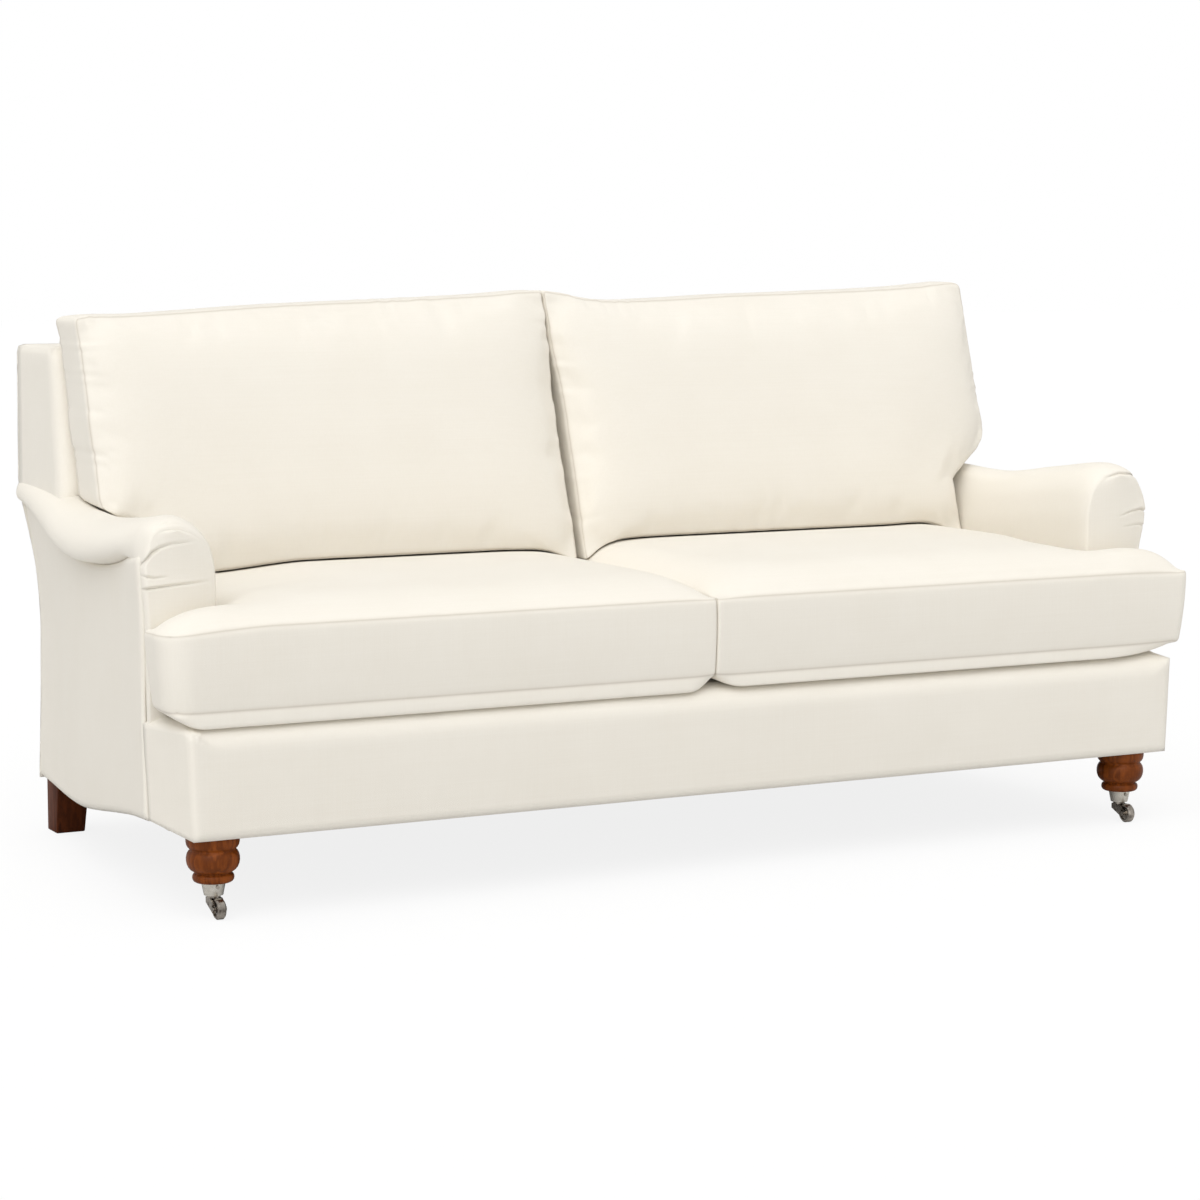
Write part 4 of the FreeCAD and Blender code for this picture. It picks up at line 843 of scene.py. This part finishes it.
def hang_over(points, bottom, u_marks, v_marks, low_seam, sag, fade):
    """Let the front of a cushion's underside hang over the edge that it lies on, less so towards its ends."""
    x, y = points[bottom, 0], points[bottom, 1]
    in_ear, behind = x > u_marks[1], y > v_marks[1]
    inland = np.minimum.reduce([(x - u_marks[0]) / (2 * under_round), (u_marks[2] - x) / fade,
                                (v_marks[2] - y) / under_round,
                                np.where(in_ear, (v_marks[1] - y) / under_round, 1),
                                np.where(behind, (u_marks[1] - x) / under_round, 1)])
    rise = low_seam * (1 - np.clip(inland, 0, 1)) ** 2
    share = 1 - rise / low_seam
    along = (y - v_marks[0]) / mm
    lip = np.interp(along, LIP_AT, LIP_RISE) * mm
    points[bottom, 1] = y + (np.interp(along, LIP_AT, LIP_BACK) - along) * share * mm
    points[bottom, 2] = rise + np.where(lip < 0, sag * lip, lip) * share


def boxed_cushion(name, u_marks, v_marks, missing, corners, outline, seams, crown, reach, puckers, seed,
                  slant=0.0, lip=None):
    """A cushion with two sewn seams, resting flat on the plane w = 0."""
    cell = 9.5 * mm
    low_seam, high_seam = seams
    cloth = box_up(cut_pattern(u_marks, v_marks, missing, cell), max(3, round((high_seam - low_seam) / cell)))
    piece = new_piece(name, cloth, linen)
    points = points_of(piece.data)
    for corner, inward, radius in corners:
        round_corner(points, corner, inward, radius)
    ear_rise = slant * np.maximum(0, points[:, 0] - u_marks[1])
    points[:, 1] += ear_rise * (v_marks[2] - points[:, 1]) / (v_marks[2] - v_marks[1])
    share = points[:, 2].copy()
    rim, nearest = distance_to_rim(points)
    wall = between_panels(share)
    on_seam = (rim < 1e-5) & ~wall
    top, bottom = (share > 0.99) & ~on_seam, (share < 0.01) & ~on_seam
    inland = soft_distance(points[:, :2], outline, 24 * mm)
    if lip:
        inland *= 1 + 0.5 * smoothstep(points[:, 0], u_marks[1] - 40 * mm, u_marks[1] + 80 * mm)
    from_notch = np.hypot(points[:, 0] - u_marks[1], points[:, 1] - v_marks[1])
    dome = 0.6 * soft_rise(inland, reach) + 0.4 * soft_rise(inland, 340 * mm)
    dome = np.minimum(1, dome + 0.45 * np.exp(-(from_notch / (55 * mm)) ** 2))
    dome *= smoothstep(rim, -2 * mm, 14 * mm)
    points[:, 2] = low_seam + (high_seam - low_seam) * share
    points[top, 2] += crown * dome[top]
    points[bottom, 2] -= low_seam * soft_rise(rim[bottom], under_round)
    if lip:
        hang_over(points, bottom, u_marks, v_marks, low_seam, *lip)
    move_points(piece.data, points)

    sewn = piece.vertex_groups.new(name="sewn")
    sewn.add([int(i) for i in np.nonzero(on_seam)[0]], 1.0, "REPLACE")
    set_attribute(piece.data, "seam", on_seam)
    for end, mark in (("foot", v_marks[0]), ("head", v_marks[2])):
        set_attribute(piece.data, end, on_seam & (share > 0.99) & (np.abs(points[:, 1] - mark) < 1 * mm))
    along = np.column_stack([nearest, np.zeros(len(nearest))])
    ripple = waves_at(along, 34, seed) + 0.5 * waves_at(along, 71, seed + 5)
    gather = ripple - 1.1 * np.exp(-(ripple / 0.16) ** 2)
    fade = np.where(wall, 0.15 + 0.5 * np.abs(2 * share - 1) ** 2, np.exp(-(rim / (34 * mm)) ** 1.4))
    upright = (np.abs(nearest[:, 0] - u_marks[0]) < 2 * mm) | (nearest[:, 0] > u_marks[1] - 2 * mm)
    strength = 0.2 + 0.8 * smoothstep(waves_at(along, 5, seed + 9), -0.3, 0.4)
    strength *= np.where(upright, 1.0, 0.35)
    set_attribute(piece.data, "pucker", puckers * gather * fade * strength)

    if not lip:
        stuff(piece, caps=np.where(top, 14 * mm, np.where(bottom, 5 * mm, 12 * mm)))
    return piece


print("boxed cushion recipe ready")

# %% [markdown]
# ## Seat cushions
#
# Two loose seat cushions lie side by side on the deck. Each has an ear at the front that wraps round the arm,
# so its pattern is an L. Both are made on the right and the left one is mirrored, but each has its own ear,
# crown and wrinkles. A cushion is held flat by what it touches: the deck below, the arm beside it, its twin
# and the back. At the front its underside hangs over the rounded edge of the base.

# %% Make the seat cushions
edge_round = 46 * mm
SEAT_V = (-485 * mm, -372 * mm, 140 * mm)
SEAT_SEAMS = (18 * mm, 151 * mm)
seat_ear_root = 849 * mm
arm_touch = seat_half - 1.2 * mm
arm_front_gap = 6 * mm


def lay_on_deck(points, droop, arm_fall, ear):
    """Put a seat cushion on the deck and flatten it where it touches its neighbours."""
    x, y, z = points.T.copy()
    z = z - droop * smoothstep(x, 0.80, ear) * smoothstep(z, 0.02, 0.15)
    depth, start = arm_fall
    beside_arm = smoothstep(x, start, start + 0.2) * smoothstep(y, -0.34, -0.20)
    z = z - depth * beside_arm * smoothstep(z, 0.06, 0.16)
    up = np.clip((z - SEAT_SEAMS[0]) / (SEAT_SEAMS[1] - SEAT_SEAMS[0]), 0, 1)
    at_front = 1 - smoothstep(y, SEAT_V[0] + 8 * mm, SEAT_V[0] + 60 * mm)
    y = y + at_front * (4 * mm * (1 - up) ** 1.5 - 12 * mm * up * (1 - up))
    x = x - 11 * mm * (1 - up) ** 1.5 * smoothstep(x, ear - 70 * mm, ear - 10 * mm)
    on_edge = edge_round - np.clip(y - base_front, 0, edge_round)
    support = np.sqrt(edge_round ** 2 - on_edge ** 2) - edge_round
    z = deck_top + np.maximum(z, np.where(y < base_front, -0.05, support + 0.7 * mm))
    rear = inside_back(z) - 5 * mm
    y = base_front + (y - base_front) * (rear - base_front) / (SEAT_V[2] - base_front)
    y = np.minimum(y, rear)
    x = np.maximum(x, 0.7 * mm)
    past_arm = (x > arm_touch) & (y > arm_front - arm_front_gap)
    beside = past_arm & (x - seat_half < y - arm_front)
    x[beside] = arm_touch
    y[past_arm & ~beside] = arm_front - arm_front_gap
    return np.column_stack([x, y, z])


def finish_cushion(piece, points, side, body, nodes, groove):
    """Subdivide, press the seams, mirror for the left side and hand over to the frame."""
    move_points(piece.data, points)
    smooth_out(piece)
    press_seams(piece, groove)
    if side == "left":
        mirror_to_left(piece)
    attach(piece, body)
    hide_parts(*nodes)
    points = np.round(points_of(piece.data), 3)
    print(f"{piece.name}: {len(piece.data.polygons)} quads, {points.min(axis=0)} to {points.max(axis=0)}")


seats = {}
for side, ear, ear_round, droop, arm_fall, crown, lip, seed in (
        ("right", 1011 * mm, 24 * mm, 2 * mm, (-10 * mm, 0.66), 64 * mm, (0.3, 190 * mm), 3.0),
        ("left", 989 * mm, 52 * mm, 9 * mm, (12 * mm, 0.53), 50 * mm, (0.6, 70 * mm), 21.0)):
    u = (-6 * mm, seat_ear_root, ear)
    corners = (((u[0], SEAT_V[0]), (1, 1), 10 * mm), ((u[0], SEAT_V[2]), (1, -1), 20 * mm),
               ((u[1], SEAT_V[2]), (-1, -1), 20 * mm), ((u[2], SEAT_V[0]), (-1, 1), ear_round),
               ((u[2], SEAT_V[1]), (-1, -1), 22 * mm))
    outline = [(u[0], SEAT_V[0]), (u[2], SEAT_V[0]), (u[2], SEAT_V[1]), (u[1], SEAT_V[1]), (u[1], SEAT_V[2]),
               (u[0], SEAT_V[2])]
    cushion = seats[side] = boxed_cushion(
        f"{side}_seat_cushion", u, SEAT_V, lambda a, b: a > seat_ear_root and b > SEAT_V[1], corners, outline,
        SEAT_SEAMS, crown=crown, reach=90 * mm, puckers=1.2 * mm, seed=seed, lip=lip)
    finish_cushion(cushion, lay_on_deck(points_of(cushion.data), droop, arm_fall, ear), side,
                   f"seat_cushion_{side}", (f"seat_cover_{side}", f"seat_core_{side}"), groove=1.0 * mm)

# %% [markdown]
# ## Back cushions
#
# The back cushions are softer and thicker in the middle. Each stands on a seat cushion, leans on the inside
# back and reaches over the arm with an ear at its upper outer corner. They are cut flat like the seat
# cushions, stuffed, and then sheared to the slope of the back.


# %% Make the back cushions
def height_of(piece):
    """A function that reads a piece's upper surface straight below each point."""
    mesh = piece.data
    tree = BVHTree.FromPolygons([vert.co for vert in mesh.vertices], [face.vertices for face in mesh.polygons])

    def height(x, y):
        hits = [tree.ray_cast(Vector((a, b, 2)), Vector((0, 0, -1)))[0] for a, b in zip(x, y)]
        return np.array([-1.0 if hit is None else hit.z for hit in hits])
    return height


BACK_SEAMS = (22 * mm, 130 * mm)
back_gap, bed_gap, crest_gap = 4 * mm, 3 * mm, 4 * mm
lowest_bed = 486 * mm
# Height of the upper seam at distances from the middle of the sofa, in millimetres.
TOP_MARKS = (0, 99, 257, 383, 564, 678, 919, 960)
TOP_LINE = {"right": (975, 962, 963, 969, 974, 977, 984, 984), "left": (974, 972, 967, 963, 956, 949, 934, 932)}


def middle_of(piece, attribute):
    """Middle height of the points that an attribute marks, in the flat pattern."""
    return float(np.median(points_of(piece.data)[get_attribute(piece.data, attribute) > 0.5, 1]))


def lean_on_back(piece, side, pull):
    """Stand a back cushion against the sloping inside back, pressed to the seat and the arm."""
    hand = 1 if side == "right" else -1
    points, foot, head = points_of(piece.data), middle_of(piece, "foot"), middle_of(piece, "head")
    x, z, w = points.T.copy()
    w = np.maximum(w, 0.8 * mm) + back_gap
    rise = np.clip((z - foot) / (head - foot), 0, 1)
    opening = pull * (1 - smoothstep(rise, 0.5, 0.85)) - 7 * mm * smoothstep(rise, 0.6, 0.9)
    x = np.maximum(x + opening * np.exp(-(x / 0.05) ** 2), 0.9 * mm)
    bed = np.maximum(seat_height[side](hand * x, inside_back(z) - w), lowest_bed)
    z = z + (bed - foot) * (1 - rise) ** 3
    z += (flowing(x / mm, TOP_MARKS, TOP_LINE[side]) - head) * rise ** 1.5
    z = np.maximum(z, bed + bed_gap)
    for _ in range(2):
        z = np.maximum(z, seat_height[side](hand * x, inside_back(z) - w) + bed_gap)
    y = inside_back(z) - w
    crest = arm_height[side](hand * x, y) + crest_gap
    inside_arm = (x > arm_touch) & (z < crest)
    beside = inside_arm & (x < seat_half + 14 * mm)
    x[beside] = arm_touch
    z[inside_arm & ~beside] = crest[inside_arm & ~beside]
    return np.column_stack([x, y, z])


seat_height = {side: height_of(piece) for side, piece in seats.items()}
arm_height = {side: height_of(piece) for side, piece in arms.items()}
for side, ear, ear_low, slant, pull, seed in (("right", 952 * mm, 616 * mm, 0.72, 5 * mm, 7.0),
                                              ("left", 920 * mm, 604 * mm, 0.30, 3 * mm, 33.0)):
    u, v = (-7 * mm, 857 * mm, ear), (515 * mm, ear_low, 966 * mm)
    corners = (((u[0], v[0]), (1, 1), 10 * mm), ((u[0], v[2]), (1, -1), 10 * mm),
               ((u[1], v[0]), (-1, 1), 14 * mm), ((u[2], v[2]), (-1, -1), 14 * mm),
               ((u[2], v[1]), (-1, 1), 26 * mm))
    outline = [(u[0], v[0]), (u[1], v[0]), (u[1], v[1]), (u[2], v[1] + slant * (u[2] - u[1])), (u[2], v[2]),
               (u[0], v[2])]
    cushion = boxed_cushion(
        f"{side}_back_cushion", u, v, lambda a, b: a > u[1] and b < ear_low, corners, outline, BACK_SEAMS,
        crown=34 * mm, reach=150 * mm, puckers=3.6 * mm, seed=seed, slant=slant)
    finish_cushion(cushion, lean_on_back(cushion, side, pull), side, f"back_cushion_{side}",
                   (f"back_cover_{side}", f"back_core_{side}"), groove=1.2 * mm)

# %% [markdown]
# ## Front box, deck and back
#
# These parts of the body are flat cloth over thin padding. The same pattern-and-box recipe makes all of them:
# a panel with a soft rim, bent to the slope it lies on. They need no simulation, because they are pulled tight.


# %% A tight panel
def nothing_missing(u, v):
    """A plain rectangle."""
    return False


def soft_panel(name, u_marks, v_marks, settle, rim_round, pillow, cell, layers, seed,
               missing=nothing_missing, corners=(), finish=linen, head_round=None):
    """A boxed form with a rounded rim, tight at its foot; settle maps its flat (u, v, depth) to the sofa."""
    piece = new_piece(name, box_up(cut_pattern(u_marks, v_marks, missing, cell), layers), finish)
    points = points_of(piece.data)
    for corner, inward, radius in corners:
        round_corner(points, corner, inward, radius)
    share = points[:, 2].copy()
    rim, nearest = distance_to_rim(points)
    tight = min(rim_round, 5 * mm)
    from_end = u_marks[-1] - np.abs(nearest[:, 0])
    along_foot = (nearest[:, 1] < v_marks[0] + 0.5 * mm) * smoothstep(from_end, 0, 30 * mm)
    along_head = (nearest[:, 1] > v_marks[-1] - 0.5 * mm) * smoothstep(from_end, 0, 9 * mm)
    head_round = head_round or rim_round
    rim_round = rim_round + (tight - rim_round) * along_foot + (head_round - rim_round) * along_head
    face = share > 0.99
    sunk = np.clip(1 - rim / rim_round, 0, 1)
    back_off = rim_round * (1 - np.sqrt(np.maximum(0, 1 - sunk ** 2)))
    swell = pillow * soft_rise(rim, 120 * mm)
    ripple = 0.8 * mm * waves_at(points, 7, seed)
    forward = np.where(face, swell - back_off + ripple, -rim_round * share)
    move_points(piece.data, settle(points[:, 0], points[:, 1], share, forward))
    mesh = piece.data
    shell = bmesh.new()
    shell.from_mesh(mesh)
    bmesh.ops.recalc_face_normals(shell, faces=shell.faces[:])
    shell.to_mesh(mesh)
    shell.free()
    mesh.shade_smooth()
    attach(piece, "sofa_frame")
    print(name, len(mesh.polygons), "faces")
    return piece


# %% Front box
box_half = base_half + 7 * mm
return_half = arm_half + 5 * mm


def settle_front(u, v, share, forward):
    """The front box: depth runs back from the front face to the arm fronts, where it is as wide as the arms."""
    height = (v - base_low) / (deck_top - base_low)
    front_half = np.where(u > 0, base_half + 20 * mm, base_half)
    half = front_half + (return_half - front_half) * (1 - share) - 6 * mm * (1 - height)
    y = base_front - forward + (1 - share) * (arm_front + 14 * mm - base_front)
    lift = 18 * mm * (1 - share) * (1 - height) * smoothstep(np.abs(u), 0.90, 0.95)
    fall = 12 * mm * height * np.clip((np.abs(u) - box_half) / (26 * mm) + 1, 0, 1) ** 2
    return np.column_stack([u * half / box_half, y, v + lift - fall])


front_box = soft_panel("front_box", (-box_half, box_half), (base_low, deck_top), settle_front, rim_round=6 * mm,
                       pillow=2 * mm, cell=8 * mm, layers=12, seed=5.0, head_round=edge_round)
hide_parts("base_border")


def settle_side(u, v, share, forward):
    """A side of the base behind the outside arm; u runs front to back."""
    run = (u - arm_front) / (panel_foot - arm_front)
    x = outside_arm(u) - 26 * mm - waist(v) * smoothstep(run, 0.5, 1.0)
    return np.column_stack([x - 12 * mm * (1 - share) + forward, u, v])


for side in ("right", "left"):
    wall = soft_panel(f"{side}_base_side", (arm_front, panel_foot), (base_low, rail_top), settle_side,
                      rim_round=4 * mm, pillow=0.5 * mm, cell=24 * mm, layers=2, seed=6.0)
    if side == "left":
        mirror_to_left(wall)


# %% Deck
def settle_deck(u, v, share, forward):
    """The deck lies flat under the cushions."""
    return np.column_stack([u, v, deck_top - 19 * mm * (1 - share) + forward - 2 * mm])


deck_ear, between_arms, deck_rear = 900 * mm, seat_half - 1 * mm, 88 * mm
deck = soft_panel("seat_platform", (-deck_ear, -between_arms, between_arms, deck_ear),
                  (base_front + 60 * mm, arm_front - 1 * mm, deck_rear), settle_deck, rim_round=5 * mm,
                  pillow=1 * mm, cell=20 * mm, layers=2, seed=8.0, finish=deck_cloth,
                  missing=lambda u, v: abs(u) > seat_half and v > arm_front)
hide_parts("seat_deck")


# %% Inside back
def taper_wings(u, v):
    """Draw the back's ends in a little towards the top."""
    past = np.maximum(0, np.abs(u) - seat_half)
    return u - np.sign(u) * past * 0.21 * np.clip((v - wing_foot) / (back_top - wing_foot), 0, 1)


def settle_inside(u, v, share, forward):
    """The inside back fills the space between its own slope and the outside back."""
    front, rear = inside_back(v), outside_back(v) - 1 * mm
    return np.column_stack([taper_wings(u, v), rear + (front - rear) * share - forward, v])


wing_foot, wing_half, inside_foot = 608 * mm, 932 * mm, 300 * mm
top_corners = (((wing_half, back_top), (-1, -1), 12 * mm), ((-wing_half, back_top), (1, -1), 12 * mm))
inside = soft_panel("inside_back", (-wing_half, -between_arms, between_arms, wing_half),
                    (inside_foot, wing_foot, back_top), settle_inside, rim_round=13 * mm, pillow=3 * mm,
                    cell=16 * mm, layers=8, seed=12.0, corners=top_corners,
                    missing=lambda u, v: abs(u) > seat_half and v < wing_foot)
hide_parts("back_pad")


# %% Outside back
def settle_outside(u, v, share, forward):
    """The outside back is a thin panel that bends and leans, drawn in at its corners below the arms."""
    u = taper_wings(u, v) - np.sign(u) * waist(v) * smoothstep(np.abs(u), 0.80, 0.93)
    return np.column_stack([u, outside_back(v) + panel * share + np.where(share > 0.5, forward, 0), v])


outside = soft_panel("outside_back_panel", (-wing_half, wing_half), (base_low - 36 * mm, back_top),
                     settle_outside, rim_round=5 * mm, pillow=1.5 * mm, cell=16 * mm, layers=2, seed=17.0,
                     corners=top_corners)
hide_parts("outside_back")

# %% [markdown]
# ## Dust cover
#
# A sheet of black cambric is stapled under the frame. It is a single sheet that sags a little between rails.

# %% Make the dust cover
low_corner, high_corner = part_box("dust_cover")
sheet_rear, staple_height, sheet_sag = 320 * mm, 131.2 * mm, 5 * mm
sheet_width, sheet_depth = high_corner[0] - low_corner[0], sheet_rear - low_corner[1]
cover = cut_pattern((low_corner[0], high_corner[0]), (low_corner[1], sheet_rear), nothing_missing, 30 * mm)
for vert in cover.verts:
    across = math.cos(math.pi * vert.co.x / sheet_width)
    front_to_back = math.sin(math.pi * (vert.co.y - low_corner[1]) / sheet_depth)
    vert.co.z = staple_height - sheet_sag * max(0, across * front_to_back) ** 0.7
bmesh.ops.reverse_faces(cover, faces=cover.faces[:])
sheet = new_piece("dust_sheet", cover, dust_cloth)
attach(sheet, "sofa_frame")
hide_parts("dust_cover")
print(sheet.name, len(sheet.data.polygons), "faces")

# %% [markdown]
# ## Legs
#
# The front legs are turned on a lathe: a moulding, a bun and a ring, with a spigot in the caster cup. Spinning
# half an outline about the leg's axis does what the lathe does. The rear legs are square and tapered, so they
# start from a cube whose lower corners are moved before its edges are eased.

# %% Turned front legs
leg_x, leg_y = 896 * mm, -435 * mm
# Half the outline of the leg as radius and height, in millimetres.
LEG_PROFILE = ((0, 132), (41.6, 132), (42.8, 130.5), (43.2, 127), (43.0, 122.5), (42.0, 118), (40.2, 114.6),
               (38.2, 112.6), (37.2, 111.4), (37.0, 110.4), (37.4, 109.4), (39.4, 107.4), (41.6, 103.5),
               (42.8, 98), (42.9, 93), (42.0, 87.5), (39.8, 82), (36.4, 77.8), (32.8, 75.2), (30.0, 74.2),
               (29.0, 73.4), (29.0, 72.4), (29.8, 71.6), (32.0, 70.2), (33.3, 67.6), (33.6, 64.8), (33.0, 61.6),
               (31.2, 59), (28.8, 57.6), (25, 57.2), (17.6, 57.2), (15.5, 45), (0, 45))


def turn_leg(x):
    """Spin the half outline about an upright axis."""
    leg = bmesh.new()
    ring = [leg.verts.new((r * mm, 0, z * mm)) for r, z in LEG_PROFILE]
    edges = [leg.edges.new(pair) for pair in zip(ring, ring[1:])]
    bmesh.ops.spin(leg, geom=ring + edges, cent=(0, 0, 0), axis=(0, 0, 1), angle=2 * math.pi, steps=72,
                   use_merge=True)
    bmesh.ops.remove_doubles(leg, verts=leg.verts[:], dist=0.01 * mm)
    bmesh.ops.recalc_face_normals(leg, faces=leg.faces[:])
    bmesh.ops.translate(leg, verts=leg.verts[:], vec=(x, leg_y, 0))
    return leg


for side, x in (("right", leg_x), ("left", -leg_x)):
    leg = new_piece(f"{side}_turned_leg", turn_leg(x), chestnut)
    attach(leg, "sofa_frame")
    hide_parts(f"front_leg_{side}")
    print(leg.name, len(leg.data.polygons), "faces")


# %% Square rear legs
def taper_leg(low, high):
    """A cube shaped to a tapered leg with eased edges."""
    leg = bmesh.new()
    bmesh.ops.create_cube(leg, size=1)
    for vert in leg.verts:
        right, back, top = vert.co.x > 0, vert.co.y > 0, vert.co.z > 0
        x = high[0] if right else low[0]
        if not top and not right:
            x += 8 * mm
        y = (high[1] - (3 * mm if top else 0)) if back else (low[1] if top else low[1] + 22 * mm)
        vert.co = (x, y, high[2] if top else low[2])
    bmesh.ops.bevel(leg, geom=leg.edges[:], offset=2.5 * mm, segments=3, profile=0.5, affect="EDGES",
                    material=-1)
    bmesh.ops.recalc_face_normals(leg, faces=leg.faces[:])
    return leg


low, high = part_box("rear_leg_right")
for side in ("right", "left"):
    leg = new_piece(f"{side}_rear_leg", taper_leg(low, high), dark_wood)
    if side == "left":
        mirror_to_left(leg)
    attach(leg, "sofa_frame")
    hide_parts(f"rear_leg_{side}")
    print(leg.name, len(leg.data.polygons), "faces")
